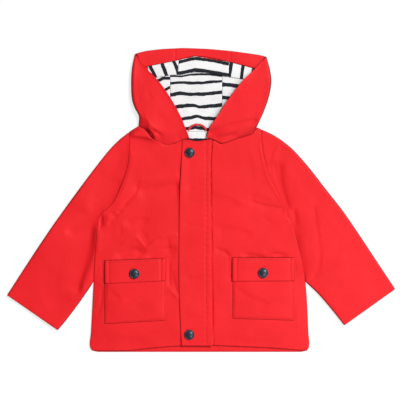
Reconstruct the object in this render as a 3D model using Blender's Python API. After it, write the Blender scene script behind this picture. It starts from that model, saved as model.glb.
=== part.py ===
"""A toddler's hooded rain jacket, fastened up the front and laid flat on its back.

Sizes below are millimetres, turned into metres by MM as the points are made. +Z is up and
the surface it lies on is Z = 0. The origin is under the middle of the jacket, +Y points to
the hood, and -X is the wearer's right. "out" is a distance from the centre line towards one
side, and "up" is a distance towards the hood.
"""
import math

import bmesh
import bpy
from mathutils import Vector

MM = 0.001

# ---------------------------------------------------------------- driving dimensions
CLOTH = 1.2             # coated outer cloth
JERSEY = 1.0            # striped lining
HOOD_WALL = 1.6         # outer cloth of the hood's sides with the turned edge
SEAM = 0.3              # between a piece and the one it lies on
BUTT = 0.3              # between two pieces sewn edge to edge

LOFT = 2.6              # how far the fronts stand clear of the back inside the body
SIDE_ROLL = 10          # power of the curve by which the fronts come down at the sides
SIDES_CLOSE_FROM = -96.0    # up, where the fronts start to come down to the side seams
SIDES_CLOSE_OVER = 34.0
SHOULDER_ROLL = 16.0    # width over which the fronts come down to the shoulder seams
FOLDS_END_OVER = 1 / 12     # share of the half width over which folds die out at the side
SLEEVE_HEIGHT = 5.8     # both layers of a sleeve, halfway along
SLEEVE_AT_ARMHOLE = 5.0
SLEEVE_AT_CUFF = 4.6
SLEEVE_ROLL = 5.0       # width over which a sleeve's edge rounds over
SLEEVE_START = 0.015    # share of a sleeve's length where its outer fold starts
SLEEVE_CLOSES = 0.08    # share of its length over which its underarm seam closes
HOOD_HEIGHT = 10.0      # top of the hood's side panels over the surface
HOOD_AT_NECK = 6.2
HOOD_AT_BRIM = 5.2
HOOD_RISES_BY = 1 / 6   # shares of its length from the neck to the brim
HOOD_FALLS_FROM = 0.65
HOOD_ROLL = 7.0
CENTRE_FRONT = -6.0     # x of the line where the two fronts meet

SNAP_DIAMETER = 15.0
SNAP_HEIGHT = 2.8
# Outline of a snap from its foot to its dome: share of the radius, share of the height.
SNAP_PROFILE = (
    (0.90, 0.0),
    (1.0, 0.22),
    (0.97, 0.50),
    (0.86, 0.62),
    (0.78, 0.54),
    (0.52, 0.86),
)
LOOP_WIDTH = 3.0
LOOP_THICK = 1.6
# Section of the hanger loop's tape: share of half its width, share of its thickness.
LOOP_SECTION = (
    (-1.0, 0.35),
    (-0.6, 0.0),
    (0.6, 0.0),
    (1.0, 0.35),
    (0.8, 0.85),
    (0.0, 1.0),
    (-0.8, 0.85),
)

# Right and left side of the body, from the hem's corner up past the armpit and round the
# armhole to the shoulder.
#   up      out
RIGHT_SIDE = (
    (-226.0, 163.5),
    (-221.0, 166.6),
    (-198.0, 165.3),
    (-122.0, 161.4),
    (-69.0, 158.2),
    (-37.0, 155.5),
    (-26.0, 153.8),
    (-19.0, 148.7),
    (-14.0, 142.0),
    (-2.5, 131.7),
    (18.7, 121.2),
    (35.0, 115.0),
    (53.0, 109.9),
    (80.0, 107.6),
    (102.0, 108.4),
)
LEFT_SIDE = (
    (-226.0, 159.2),
    (-221.0, 162.0),
    (-198.0, 161.3),
    (-122.0, 156.7),
    (-93.0, 151.5),
    (-69.0, 145.8),
    (-44.0, 140.0),
    (-27.0, 134.2),
    (-9.5, 124.8),
    (15.0, 113.3),
    (36.0, 102.6),
    (61.7, 95.2),
    (83.0, 91.6),
    (106.6, 90.2),
)
# Rows of those tables at the armpit, and where a sleeve's inner edge leaves the side.
ARMPIT = {"right": -26.0, "left": -27.0}
UNDERARM = {"right": -122.0, "left": -122.0}

# Upper edge of each front, from the centre line out along the neck seam to the shoulder.
#   out     up
RIGHT_NECK = (
    (6.0, 88.6),
    (28.5, 88.4),
    (38.0, 84.4),
    (50.5, 80.8),
    (64.5, 84.8),
    (74.0, 91.0),
    (82.0, 101.0),
    (92.0, 108.8),
    (99.5, 107.8),
    (108.4, 102.0),
)
LEFT_NECK = (
    (-6.0, 88.6),
    (19.5, 88.4),
    (30.0, 83.4),
    (49.0, 88.6),
    (64.5, 92.8),
    (77.0, 97.6),
    (83.6, 107.4),
    (90.2, 106.6),
)

# Hem of the fronts, which lifts towards the middle and shows the back's hem below it.
#   x       up
FRONT_HEM = (
    (-163.5, -226.0),
    (-112.0, -225.8),
    (-44.0, -219.0),
    (-6.0, -218.0),
    (20.0, -218.0),
    (96.0, -221.0),
    (159.2, -226.0),
)
BACK_HEM = -228.0
BACK_HEM_ENDS = (-155.0, 151.0)     # x where the straight hem turns up into its corners

# A sleeve's outer edge from shoulder to cuff, and its inner edge from the underarm down.
#   out     up
SLEEVE_OUTER = {
    "right": (
        (123.2, 90.2),
        (135.3, 78.2),
        (154.8, 54.2),
        (190.8, 6.2),
        (225.2, -41.8),
        (257.3, -89.8),
        (291.4, -142.6),
    ),
    "left": (
        (111.5, 96.2),
        (135.6, 78.2),
        (157.8, 54.2),
        (186.2, 18.2),
        (214.2, -17.8),
        (239.0, -53.8),
        (262.8, -89.8),
        (291.7, -133.4),
    ),
}
SLEEVE_INNER = {
    "right": (
        (171.8, -137.8),
        (188.9, -161.8),
        (207.5, -185.8),
        (215.5, -195.0),
    ),
    "left": (
        (173.6, -137.8),
        (184.5, -149.8),
        (199.5, -167.8),
        (215.4, -187.8),
    ),
}

# The hood's folded side from the neck to the brim's corner, and its front edge, which runs
# over the top of it from the neck to that same corner.
#   out     up
HOOD_FOLD = {
    "right": (
        (93.9, 111.2),
        (93.4, 126.2),
        (99.5, 138.2),
        (103.4, 150.2),
        (104.9, 174.2),
        (103.7, 198.2),
        (99.4, 219.8),
    ),
    "left": (
        (84.2, 110.6),
        (94.0, 132.2),
        (102.2, 156.2),
        (105.6, 177.2),
        (104.3, 192.2),
        (98.2, 215.8),
    ),
}
HOOD_FRONT = {
    "right": (
        (17.2, 92.6),
        (20.7, 102.2),
        (31.8, 128.3),
        (49.5, 159.2),
        (65.4, 180.5),
        (84.2, 200.2),
        (95.6, 214.6),
    ),
    "left": (
        (8.0, 93.5),
        (12.9, 108.2),
        (25.4, 127.0),
        (41.6, 151.9),
        (63.9, 180.5),
        (81.3, 197.3),
        (94.4, 211.2),
    ),
}
# Where each hood side is sewn to the neck, from its fold to its front edge.
HOOD_NECK = {
    "right": (
        (93.9, 111.2),
        (82.0, 103.6),
        (73.8, 93.2),
        (65.0, 86.0),
        (50.5, 82.0),
        (38.2, 85.6),
        (28.6, 90.0),
        (17.2, 92.6),
    ),
    "left": (
        (84.2, 110.6),
        (76.6, 98.9),
        (64.0, 94.1),
        (49.0, 90.0),
        (30.2, 85.0),
        (19.6, 90.0),
        (8.0, 93.5),
    ),
}

# The brim's edge at the far end of the hood, and the inner edge of its facing.
#   x       up
BRIM = (
    (-99.4, 219.8),
    (-85.5, 223.6),
    (-61.5, 226.9),
    (-25.5, 228.6),
    (10.5, 227.2),
    (46.5, 223.9),
    (82.5, 218.9),
    (98.2, 215.8),
)
FACING_EDGE = (
    (-90.0, 199.0),
    (-44.3, 208.1),
    (-8.3, 216.2),
    (41.6, 207.7),
    (88.0, 195.6),
)
FACING_END = {"right": 90.0, "left": 88.0}

# The two seams of the hood's centre panel, and the matching ones in its lining, which jump
# sideways where the crown lies folded over.
#   up      right    left
CENTRE_SEAMS = (
    (103.2, 46.5, 31.5),
    (187.0, 45.5, 32.0),
    (228.0, 34.5, 42.0),
)
LINING_SEAMS = (
    (103.0, 46.5, 31.5),
    (174.0, 46.5, 31.5),
    (185.5, 36.5, 41.0),
    (216.0, 33.5, 42.0),
)
# How far out the side linings reach under the hood's sides, and the level they start from.
#   up      out
LINING_SIDES = (
    (118.0, 60.0),
    (168.0, 74.0),
    (187.5, 80.0),
    (216.0, 80.0),
)
LINING_SIDES_FROM = 116.0
BACK_NECK = 102.4       # up, where the hood is sewn to the back
BACK_NECKLINE = (
    # x, up
    (-108.4, 102.0),
    (-94.0, 110.3),
    (-46.5, BACK_NECK),
    (31.5, BACK_NECK),
    (84.0, 109.6),
    (90.2, 106.6),
)
CROWN_FOLD = 187.5      # up, the edge of the fold that the crown lies in
CROWN_RISE = 2.6        # how far the folded crown stands over the rest of the lining
CROWN_SLOPE = 4.0       # depth of the step down from it
CROWN_DEPTH = 24.0      # from the fold up to the facing
# How the folded crown sinks again: share lost, distance where it starts, and over how much.
CROWN_SINKS_UP = (0.75, 6.0, 14.0)
CROWN_SINKS_OUT = (0.55, 30.0, 50.0)

# Soft folds: a line from one end to the other, its half width and its height, which is
# below zero for a trough.
#   x1      up1     x2      up2    half   height
BODY_FOLDS = (
    (-93.0, 31.5, -38.0, 34.5, 6.0, 0.7),
    (-94.5, 24.0, -40.0, 27.0, 7.0, -1.4),
    (-96.0, 24.0, -114.0, -2.0, 8.0, -1.3),
    (-90.0, -20.0, -118.0, -52.0, 9.0, -0.9),
    (-98.0, -56.0, -82.5, -72.0, 6.0, 0.5),
    (-82.5, -72.0, -64.5, -58.0, 6.0, 0.5),
    (-64.5, -58.0, -37.0, -50.0, 6.0, 0.5),
    (-124.0, -73.0, -98.0, -80.0, 9.0, -1.0),
    (-148.0, -20.0, -145.5, -42.0, 6.0, -1.6),
    (72.0, 12.0, 108.0, 1.0, 6.0, 0.6),
    (68.0, 2.0, 115.0, -6.0, 7.0, -1.4),
    (22.0, 6.0, 62.0, -7.0, 9.0, -0.5),
    (22.0, -42.0, 80.0, -52.0, 9.0, -0.9),
    (70.0, -75.0, 118.0, -76.0, 9.0, -1.3),
    (-140.0, -190.0, -148.0, -140.0, 10.0, 0.6),
    (40.0, -200.0, 120.0, -208.0, 12.0, 0.6),
)
SLEEVE_FOLDS = (
    (-157.0, -24.0, -192.0, -45.0, 8.0, -1.7),
    (-160.0, -40.0, -190.0, -52.0, 7.0, 0.7),
    (-163.0, -48.0, -176.0, -132.0, 11.0, -1.6),
    (-113.0, 58.0, -139.0, -8.0, 9.0, -1.2),
    (-232.0, -120.0, -205.0, -150.0, 14.0, -0.6),
    (122.0, 42.0, 130.5, -4.0, 7.0, -1.6),
    (118.0, 80.0, 110.0, 50.0, 7.0, 0.7),
    (148.0, -20.0, 142.0, -40.0, 7.0, -1.5),
    (170.0, -14.0, 178.0, -60.0, 9.0, -0.7),
    (178.0, -60.0, 170.0, -120.0, 9.0, -0.7),
    (147.0, -52.0, 166.0, -108.0, 11.0, -1.2),
)
HOOD_FOLDS = (
    (-96.0, 112.0, -70.0, 94.0, 7.0, -1.4),
    (-78.0, 106.0, -56.0, 96.0, 7.0, -0.9),
    (-86.0, 150.0, -74.0, 132.0, 12.0, -0.6),
    (36.0, 112.0, 86.0, 123.0, 7.0, -1.4),
    (15.0, 95.0, 36.0, 110.0, 7.0, -0.9),
    (92.0, 160.0, 66.0, 152.0, 12.0, -0.6),
)

# Patch pockets and the flaps over them. An upper edge is given at both of its ends.
#   x left  right   low left  right   high left  right
POCKETS = {
    "right": (-144.2, -52.5, -185.6, -180.2, -96.0, -92.6),
    "left": (47.9, 139.6, -177.4, -180.2, -92.0, -92.0),
}
POCKET_FLAPS = {
    "right": (-144.8, -53.4, -125.2, -120.8, -90.2, -86.8),
    "left": (46.6, 140.4, -121.6, -121.0, -85.8, -85.8),
}
POCKET_FULLNESS = 1.2   # how far a pocket stands up in its middle
POCKET_SQUARENESS = 4   # power of the curve across it
POCKET_FILLS_BY = 1 / 3     # share of its height at which it is full
FLAP_STEP = 4.0         # width over which a pocket flap climbs on to its pocket
FLAP_ROWS = (0.0, 0.25, 0.5, 0.72, 0.9, 1.0)
FOLD_FADE = 9.0         # width over which a soft fold dies out beside a pocket or the flap
HELD_BEYOND = 2.0       # how far past its edges a pocket or the flap holds the cloth flat

# Storm flap, from the top of the neck to the hem: its free edge and its sewn edge.
#   up      free     sewn
STORM_FLAP = (
    (88.6, -29.4, 18.6),
    (58.7, -29.8, 17.6),
    (0.0, -32.0, 17.6),
    (-94.0, -32.2, 18.0),
    (-169.0, -31.8, 19.2),
    (-218.4, -29.0, 19.8),
)

SNAPS = {
    # name: (x, up)
    "snap_top": (-16.8, 71.2),
    "snap_hem": (-17.4, -201.8),
    "snap_pocket_right": (-99.6, -110.2),
    "snap_pocket_left": (93.2, -109.0),
}

# Lining of the body that shows in the neck opening.
NECK_LINING = {"out_right": 34.0, "out_left": 26.0, "low": 78.0, "high": 101.6}

LOOP_FEET = (-18.0, 7.2)        # x of the hanger loop's two ends
LOOP_UP = (104.6, 113.4)        # up at the feet and at the top of the arc

# How finely each piece is divided.
FRONT_COLUMNS = 15
HEM_ROWS = 9            # rows of the body from the hem to where the sleeve leaves its side
SLEEVE_ROWS, SLEEVE_TOP_INSIDE, SLEEVE_BASE_INSIDE = 22, 6, 2
HOOD_ROWS, HOOD_TOP_INSIDE, HOOD_BASE_INSIDE = 12, 4, 1
ROLL_STEPS = 3
SNAP_SIDES = 16


# ---------------------------------------------------------------- lines and surfaces
def distances(points):
    """How far along a chain of points each of them lies."""
    reach = [0.0]
    for start, end in zip(points, points[1:]):
        reach.append(reach[-1] + (Vector(end) - Vector(start)).length)
    return reach


def rail(points, cornered=False):
    """A line through points, smooth or cornered, read by a fraction of its length."""
    points = [Vector(point) for point in points]
    reach = distances(points)
    chords = [(end - start).normalized() for start, end in zip(points, points[1:])]
    turns = [(before + after) / 2 for before, after in zip(chords, chords[1:])]
    slopes = [chords[0]] + turns + [chords[-1]]

    def at(fraction):
        distance = fraction * reach[-1]
        i = 0
        while i < len(chords) - 1 and distance > reach[i + 1]:
            i += 1
        span = reach[i + 1] - reach[i]
        t = (distance - reach[i]) / span
        if cornered:
            return points[i].lerp(points[i + 1], t)
        start = points[i] * (2 * t**3 - 3 * t**2 + 1) + slopes[i] * (span * (t**3 - 2 * t**2 + t))
        end = points[i + 1] * (3 * t**2 - 2 * t**3) + slopes[i + 1] * (span * (t**3 - t**2))
        return start + end

    return at


def moved(line, distance):
    """A line moved sideways, to the left as it is followed."""
    def at(fraction):
        step = line(min(fraction + 0.01, 1.0)) - line(max(fraction - 0.01, 0.0))
        return line(fraction) + Vector((-step.y, step.x)).normalized() * distance

    return at


def patch(start, end, first, last):
    """A plan between four lines: start and end run across it, first and last along it."""
    corners = [line(t) for line in (start, end) for t in (0, 1)]

    def at(u, v):
        across = start(u) * (1 - v) + end(u) * v
        along = first(v) * (1 - u) + last(v) * u
        near = corners[0] * (1 - u) + corners[1] * u
        far = corners[2] * (1 - u) + corners[3] * u
        return across + along - (near * (1 - v) + far * v)

    return at


def read(table, key, column=1):
    """A value between the rows of a table whose first column rises or falls steadily."""
    rows = sorted(table)
    if key <= rows[0][0]:
        return rows[0][column]
    for low, high in zip(rows, rows[1:]):
        if key <= high[0]:
            share = (key - low[0]) / (high[0] - low[0])
            return low[column] + share * (high[column] - low[column])
    return rows[-1][column]


def steps(count):
    return [i / (count - 1) for i in range(count)]


def ease(value):
    """0 to 1, without a corner at either end."""
    value = min(max(value, 0.0), 1.0)
    return value * value * (3 - 2 * value)


def turned(points, sign=1):
    """Table rows of out and up, placed on one side of the centre line."""
    return [(sign * out, up) for out, up in points]


def swapped(table, sign=1):
    """Table rows of up and out, as plan points on one side of the centre line."""
    return [(sign * out, up) for up, out in table]


def from_line(place, start, end):
    """Distance of a place in plan from a straight line between two points."""
    along = end - start
    share = min(max((place - start).dot(along) / along.length_squared, 0.0), 1.0)
    return (place - start - along * share).length


def folds(table, x, up):
    """The height that the soft folds of a table add at a place."""
    height = 0.0
    for x1, up1, x2, up2, half, rise in table:
        away = from_line(Vector((x, up)), Vector((x1, up1)), Vector((x2, up2)))
        height += rise * math.exp(-((away / half) ** 2))
    return height


# ---------------------------------------------------------------- heights of the layers
def side_share(x, up):
    """How far out a place lies, from 0 on the centre line to 1 on the body's edge."""
    table = RIGHT_SIDE if x < 0 else LEFT_SIDE
    return min(abs(x) / read(table, up), 1.0)


def held_flat(x, up):
    """0 under the storm flap and the pockets, which hold the cloth flat, and 1 away from them."""
    free = min(row[1] for row in STORM_FLAP)
    sewn = max(row[2] for row in STORM_FLAP)
    spans = [(free, sewn, BACK_HEM, STORM_FLAP[0][0])]
    for left, right, low_left, low_right, high_left, high_right in POCKETS.values():
        spans.append((left, right, min(low_left, low_right), max(high_left, high_right)))
    share = 1.0
    for left, right, low, high in spans:
        outside = max(left - x, x - right, low - up, up - high, 0.0)
        share *= ease((outside - HELD_BEYOND) / FOLD_FADE)
    return share


def shoulder_distance(x, up):
    """Distance from the shoulder seam of the side a place is on."""
    neck, sign = (RIGHT_NECK, -1) if x < 0 else (LEFT_NECK, 1)
    inner, outer = [Vector(point) for point in turned(neck[-2:], sign)]
    return from_line(Vector((x, up)), inner, outer)


def body_rise(x, up):
    """How far the fronts stand clear of the back, to which they come down at its seams."""
    below_sleeve = ease((SIDES_CLOSE_FROM - up) / SIDES_CLOSE_OVER)
    share = side_share(x, up)
    at_side = 1 - below_sleeve * share ** SIDE_ROLL
    from_shoulder = min(shoulder_distance(x, up) / SHOULDER_ROLL, 1.0)
    at_shoulder = 1 - (1 - from_shoulder) ** 3
    soft = folds(BODY_FOLDS, x, up) * ease((1 - share) / FOLDS_END_OVER) * held_flat(x, up)
    return max((LOFT + soft) * at_side * at_shoulder, 0.0)


def front_under(x, up):
    return CLOTH + SEAM + body_rise(x, up)


def front_top(x, up):
    return front_under(x, up) + CLOTH


def pocket_bulge(side, x, up):
    left, right, low_left, low_right, high_left, high_right = POCKETS[side]
    across = (x - left) / (right - left)
    low = low_left + (low_right - low_left) * across
    high = high_left + (high_right - high_left) * across
    across = min(max(across, 0.0), 1.0)
    along = min(max((up - low) / (high - low) / POCKET_FILLS_BY, 0.0), 1.0)
    return POCKET_FULLNESS * (1 - abs(2 * across - 1) ** POCKET_SQUARENESS) * math.sqrt(along)


def pocket_top(side, x, up):
    return front_top(x, up) + SEAM + pocket_bulge(side, x, up) + CLOTH


# ---------------------------------------------------------------- making solids
def material(name, colour, roughness, metallic=0.0):
    made = bpy.data.materials.new(name)
    made.use_nodes = True
    shader = made.node_tree.nodes["Principled BSDF"]
    shader.inputs["Base Color"].default_value = (*colour, 1.0)
    shader.inputs["Roughness"].default_value = roughness
    shader.inputs["Metallic"].default_value = metallic
    return made


def finish(name, mesh_data, look, smooth_below=50):
    """Turn a bmesh into a named object with its material."""
    bmesh.ops.recalc_face_normals(mesh_data, faces=mesh_data.faces)
    mesh = bpy.data.meshes.new(name)
    mesh_data.to_mesh(mesh)
    mesh_data.free()
    mesh.materials.append(look)
    mesh.shade_smooth()
    mesh.set_sharp_from_angle(angle=math.radians(smooth_below))
    made = bpy.data.objects.new(name, mesh)
    bpy.context.collection.objects.link(made)
    return made


def facings(grid):
    """The direction square to a grid of points, at each of them."""
    rows, columns = len(grid), len(grid[0])
    result = []
    for i, row in enumerate(grid):
        ahead = grid[min(i + 1, rows - 1)]
        behind = grid[max(i - 1, 0)]
        line = []
        for j in range(columns):
            across = row[min(j + 1, columns - 1)] - row[max(j - 1, 0)]
            line.append(across.cross(ahead[j] - behind[j]).normalized())
        result.append(line)
    return result


def between(name, outer_points, inner_points, look):
    """A closed wall between two grids of points."""
    rows, columns = len(outer_points), len(outer_points[0])
    shape = bmesh.new()
    outer, inner = [
        [[shape.verts.new(point * MM) for point in row] for row in points]
        for points in (outer_points, inner_points)
    ]
    for i in range(rows - 1):
        for j in range(columns - 1):
            for skin in (outer, inner):
                corners = (skin[i][j], skin[i][j + 1], skin[i + 1][j + 1], skin[i + 1][j])
                shape.faces.new(corners)
    for i in (0, rows - 1):
        for j in range(columns - 1):
            shape.faces.new((outer[i][j], outer[i][j + 1], inner[i][j + 1], inner[i][j]))
    for j in (0, columns - 1):
        for i in range(rows - 1):
            shape.faces.new((outer[i][j], outer[i + 1][j], inner[i + 1][j], inner[i][j]))
    return finish(name, shape, look)


def wall(name, grid, thick, look):
    """A closed wall of even thickness, with a grid of points along its middle."""
    square = facings(grid)
    outer, inner = [
        [
            [point + way * offset for point, way in zip(row, ways)]
            for row, ways in zip(grid, square)
        ]
        for offset in (thick / 2, -thick / 2)
    ]
    return between(name, outer, inner, look)


def panel(name, plan, across, along, middle, thick, look):
    """A wall over a plan. middle gives the height of the wall's middle at x and up."""
    grid = []
    for v in along:
        row = []
        for u in across:
            place = plan(u, v)
            row.append(Vector((place.x, place.y, middle(place.x, place.y))))
        grid.append(row)
    return wall(name, grid, thick, look)


# ---------------------------------------------------------------- body
SIDES = {"right": (-1, RIGHT_SIDE), "left": (1, LEFT_SIDE)}


def body_side(side):
    sign, table = SIDES[side]
    return rail(swapped(table, sign))


def side_length(side, level=None):
    """Length of a side of the body from the shoulder down to a row's level, or all of it."""
    sign, table = SIDES[side]
    reach = distances(swapped(table, sign))
    if level is None:
        return reach[-1]
    return reach[-1] - reach[[up for up, out in table].index(level)]


def sleeve_inner(side):
    """A sleeve's inner boundary: round the armhole, down beside the body, then to the cuff."""
    sign = SIDES[side][0]
    along_body = side_length(side, UNDERARM[side])
    beside = moved(body_side(side), -sign * BUTT)
    leave = beside(1 - along_body / side_length(side))
    free_points = [leave] + turned(SLEEVE_INNER[side], sign)
    free = rail(free_points)
    total = along_body + distances(free_points)[-1]

    def at(fraction):
        distance = fraction * total
        if distance <= along_body:
            return beside(1 - distance / side_length(side))
        return free((distance - along_body) / (total - along_body))

    return at, total


def sleeve_rows():
    return [SLEEVE_START + (1 - SLEEVE_START) * t for t in steps(SLEEVE_ROWS)]


def body_rows(side):
    """Rows of a body panel from the hem up. Those beside a sleeve are the sleeve's own."""
    total = sleeve_inner(side)[1]
    along_body = side_length(side, UNDERARM[side])
    whole = side_length(side)
    shared = [1 - v * total / whole for v in sleeve_rows() if v * total < along_body]
    low = [shared[-1] * t for t in steps(HEM_ROWS)]
    return low + shared[-2::-1] + [1.0]


def make_back(look):
    right = body_side("right")
    left = body_side("left")
    low_corners = [(x, BACK_HEM) for x in BACK_HEM_ENDS]
    hem = rail([right(0)] + low_corners + [left(0)], cornered=True)
    neck = rail(BACK_NECKLINE, cornered=True)
    reach = distances(BACK_NECKLINE)
    at_corners = [distance / reach[-1] for distance in reach]
    across = sorted(at_corners + [(a + b) / 2 for a, b in zip(at_corners, at_corners[1:])])
    grid = []
    for right_row, left_row in zip(body_rows("right"), body_rows("left")):
        # Each row ends on both armholes where their sleeves' rings do.
        row = []
        for u in across:
            v = right_row + (left_row - right_row) * u
            place = patch(hem, neck, right, left)(u, v)
            row.append(Vector((place.x, place.y, CLOTH / 2)))
        grid.append(row)
    wall("back_panel", grid, CLOTH, look)


def front_hem(start, end, count=7):
    """The stretch of the fronts' hem between two values of x."""
    return rail([
        (start + (end - start) * t, read(FRONT_HEM, start + (end - start) * t))
        for t in steps(count)
    ])


def make_fronts(look):
    gap = SEAM / 2
    for side, neck in (("right", RIGHT_NECK), ("left", LEFT_NECK)):
        sign, table = SIDES[side]
        centre = CENTRE_FRONT + sign * gap
        top = turned(neck, sign)
        top[0] = (centre, top[0][1])
        hem = front_hem(centre, sign * table[0][1])
        middle_line = rail([(centre, read(FRONT_HEM, centre)), (centre, 0.0), top[0]])
        plan = patch(hem, rail(top), middle_line, body_side(side))
        across = [1 - (1 - t) ** 1.25 for t in steps(FRONT_COLUMNS)]
        panel(
            f"{side}_front", plan, across, body_rows(side),
            lambda x, up: front_under(x, up) + CLOTH / 2, CLOTH, look,
        )


def make_storm_flap(look):
    free = rail([(row[1], row[0]) for row in reversed(STORM_FLAP)])
    sewn = rail([(row[2], row[0]) for row in reversed(STORM_FLAP)])
    low = rail([free(0), sewn(0)])
    high = rail([free(1), sewn(1)])
    panel(
        "storm_flap", patch(low, high, free, sewn), steps(5), steps(26),
        lambda x, up: front_top(x, up) + SEAM + CLOTH / 2, CLOTH, look,
    )


def four_sided(row):
    """Plan of a pocket or its flap."""
    left, right, low_left, low_right, high_left, high_right = row
    low = rail([(left, low_left), (right, low_right)])
    high = rail([(left, high_left), (right, high_right)])
    return patch(low, high, rail([low(0), high(0)]), rail([low(1), high(1)]))


def make_pockets(look):
    for side, row in POCKETS.items():
        panel(
            f"pocket_{side}", four_sided(row), steps(9), steps(9),
            lambda x, up: pocket_top(side, x, up) - CLOTH / 2, CLOTH, look,
        )


def make_pocket_flaps(look):
    for side, row in POCKET_FLAPS.items():
        left, right, low_left, low_right, high_left, high_right = row

        def middle(x, up):
            across = (x - left) / (right - left)
            edge = high_left + (high_right - high_left) * across
            over_pocket = ease((edge - up) / FLAP_STEP)
            seated = front_top(x, up) + SEAM
            lying = pocket_top(side, x, up) + SEAM
            return seated + (lying - seated) * over_pocket + CLOTH / 2

        plan = four_sided(row)
        panel(f"pocket_flap_{side}", plan, steps(9), FLAP_ROWS, middle, CLOTH, look)


# ---------------------------------------------------------------- folded tubes
def rolled(length, roll, inside):
    """Places across a layer that comes out of a fold at its first edge.

    Each is a fraction of the width, the share of its height that the layer has reached there,
    and how far it has come down again towards its last edge.
    """
    roll = min(roll, 0.35 * length)
    angles = [math.pi / 2 * i / ROLL_STEPS for i in range(ROLL_STEPS + 1)]
    near = [(roll * (1 - math.cos(angle)) / length, math.sin(angle), 0.0) for angle in angles]
    far = [(1 - place, 1.0, 1 - lift) for place, lift, drop in reversed(near)]
    start = near[-1][0]
    end = far[0][0]
    flat = [
        (start + (end - start) * i / (inside + 1), 1.0, 0.0) for i in range(1, inside + 1)
    ]
    return near + flat + far


def folded_panel(name, rows, plans, section, sizes, look):
    """A wall that runs in under itself, round a fold and back on top.

    plans has the top and base plan of the outer skin, then of the inner one. section gives,
    for a row, its height, how far its top's free edge has come down on to the base, and the
    widths of the top and the base. sizes is the wall, the roll, the columns of the top and
    base, and the height that soft folds add to the top.
    """
    thick, roll, top_inside, base_inside, soft = sizes
    on_base = 2 * thick + SEAM
    skins = []
    for (top, base), inset in zip(plans, (0.0, thick)):
        skin = []
        for v in rows:
            height, closed, top_width, base_width = section(v)
            level = height / 2
            layers = []
            for plan, width, inside, sign in (
                (top, top_width, top_inside, 1),
                (base, base_width, base_inside, -1),
            ):
                layer = []
                for share, lift, drop in rolled(width, roll, inside):
                    place = plan(share, v)
                    rise = (level - inset) * lift
                    if sign > 0:
                        rise += (on_base - height) * drop * closed
                        rise += soft(place, share, closed) * lift
                    layer.append(Vector((place.x, place.y, level + sign * rise)))
                layers.append(layer)
            skin.append(layers[1][:0:-1] + layers[0])
        skins.append(skin)
    between(name, *skins, look)


def make_sleeve(side, look):
    sign = SIDES[side][0]
    inner, total = sleeve_inner(side)
    outer = rail([inner(0)] + turned(SLEEVE_OUTER[side], sign))
    outer_inside = moved(outer, -sign * CLOTH)
    armhole_end = side_length(side, ARMPIT[side]) / total

    def section(v):
        near = SLEEVE_AT_ARMHOLE + (SLEEVE_HEIGHT - SLEEVE_AT_ARMHOLE) * ease(v * 3)
        height = near + (SLEEVE_AT_CUFF - SLEEVE_HEIGHT) * ease(v * 2 - 1)
        width = (outer(v) - inner(v)).length
        return height, ease((v - armhole_end) / SLEEVE_CLOSES), width, width

    def soft(place, share, closed):
        return folds(SLEEVE_FOLDS, place.x, place.y) * (1 - closed * ease(share * 8 - 7))

    def plan(share, v):
        return outer(v).lerp(inner(v), share)

    def plan_inside(share, v):
        return outer_inside(v).lerp(inner(v), share)

    sizes = (CLOTH, SLEEVE_ROLL, SLEEVE_TOP_INSIDE, SLEEVE_BASE_INSIDE, soft)
    plans = ((plan, plan), (plan_inside, plan_inside))
    folded_panel(f"sleeve_{side}", sleeve_rows(), plans, section, sizes, look)


# ---------------------------------------------------------------- hood
def hood_height(v):
    """Top of a hood side, from the neck at 0 to the corner of the brim at 1."""
    rise = ease(v / HOOD_RISES_BY)
    fall = ease((v - HOOD_FALLS_FROM) / (1 - HOOD_FALLS_FROM))
    return HOOD_AT_NECK + (HOOD_HEIGHT - HOOD_AT_NECK) * rise + (HOOD_AT_BRIM - HOOD_HEIGHT) * fall


def centre_seam(side, allowance):
    """Seam of the hood's centre panel, moved out from the centre by an allowance."""
    column, sign = (1, -1) if side == "right" else (2, 1)
    return rail([(sign * (row[column] + allowance), row[0]) for row in CENTRE_SEAMS])


def brim_between(start, end, count=7):
    return rail([
        (start + (end - start) * t, read(BRIM, start + (end - start) * t)) for t in steps(count)
    ])


def make_hood_centre(look):
    right = centre_seam("right", -BUTT / 2)
    left = centre_seam("left", -BUTT / 2)
    low = rail([right(0), left(0)])
    top_row = CENTRE_SEAMS[-1]
    high = brim_between(-top_row[1] + BUTT / 2, top_row[2] - BUTT / 2)
    right = rail([right(0), right(0.5), high(0)])
    left = rail([left(0), left(0.5), high(1)])
    panel(
        "hood_centre", patch(low, high, right, left), steps(5), steps(9),
        lambda x, up: HOOD_WALL / 2, HOOD_WALL, look,
    )


def make_hood_side(side, look):
    """The side panel: under the lining from the centre seam to the fold, then back on top."""
    sign = -1 if side == "right" else 1
    fold = rail(turned(HOOD_FOLD[side], sign))
    front = rail(turned(HOOD_FRONT[side], sign))
    neck = rail(turned(HOOD_NECK[side], sign))
    corner = rail([fold(1), front(1)])
    over = patch(neck, corner, fold, front)

    top_row = CENTRE_SEAMS[-1]
    seam_end = sign * (top_row[1 if side == "right" else 2] + BUTT / 2)
    brim = brim_between(fold(1).x, seam_end)
    seam_points = centre_seam(side, BUTT / 2)
    seam = rail([seam_points(0), seam_points(0.5), brim(1)])
    under = patch(rail([fold(0), seam(0)]), brim, fold, seam)

    fold_inside = moved(fold, sign * HOOD_WALL)
    over_inside = patch(neck, corner, fold_inside, front)
    under_inside = patch(rail([fold(0), seam(0)]), brim, fold_inside, seam)

    def section(v):
        return hood_height(v), 0.0, (fold(v) - front(v)).length, (fold(v) - seam(v)).length

    def soft(place, share, closed):
        return folds(HOOD_FOLDS, place.x, place.y) * ease(share * 4)

    sizes = (HOOD_WALL, HOOD_ROLL, HOOD_TOP_INSIDE, HOOD_BASE_INSIDE, soft)
    plans = ((over, under), (over_inside, under_inside))
    folded_panel(f"hood_side_{side}", steps(HOOD_ROWS), plans, section, sizes, look)


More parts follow.
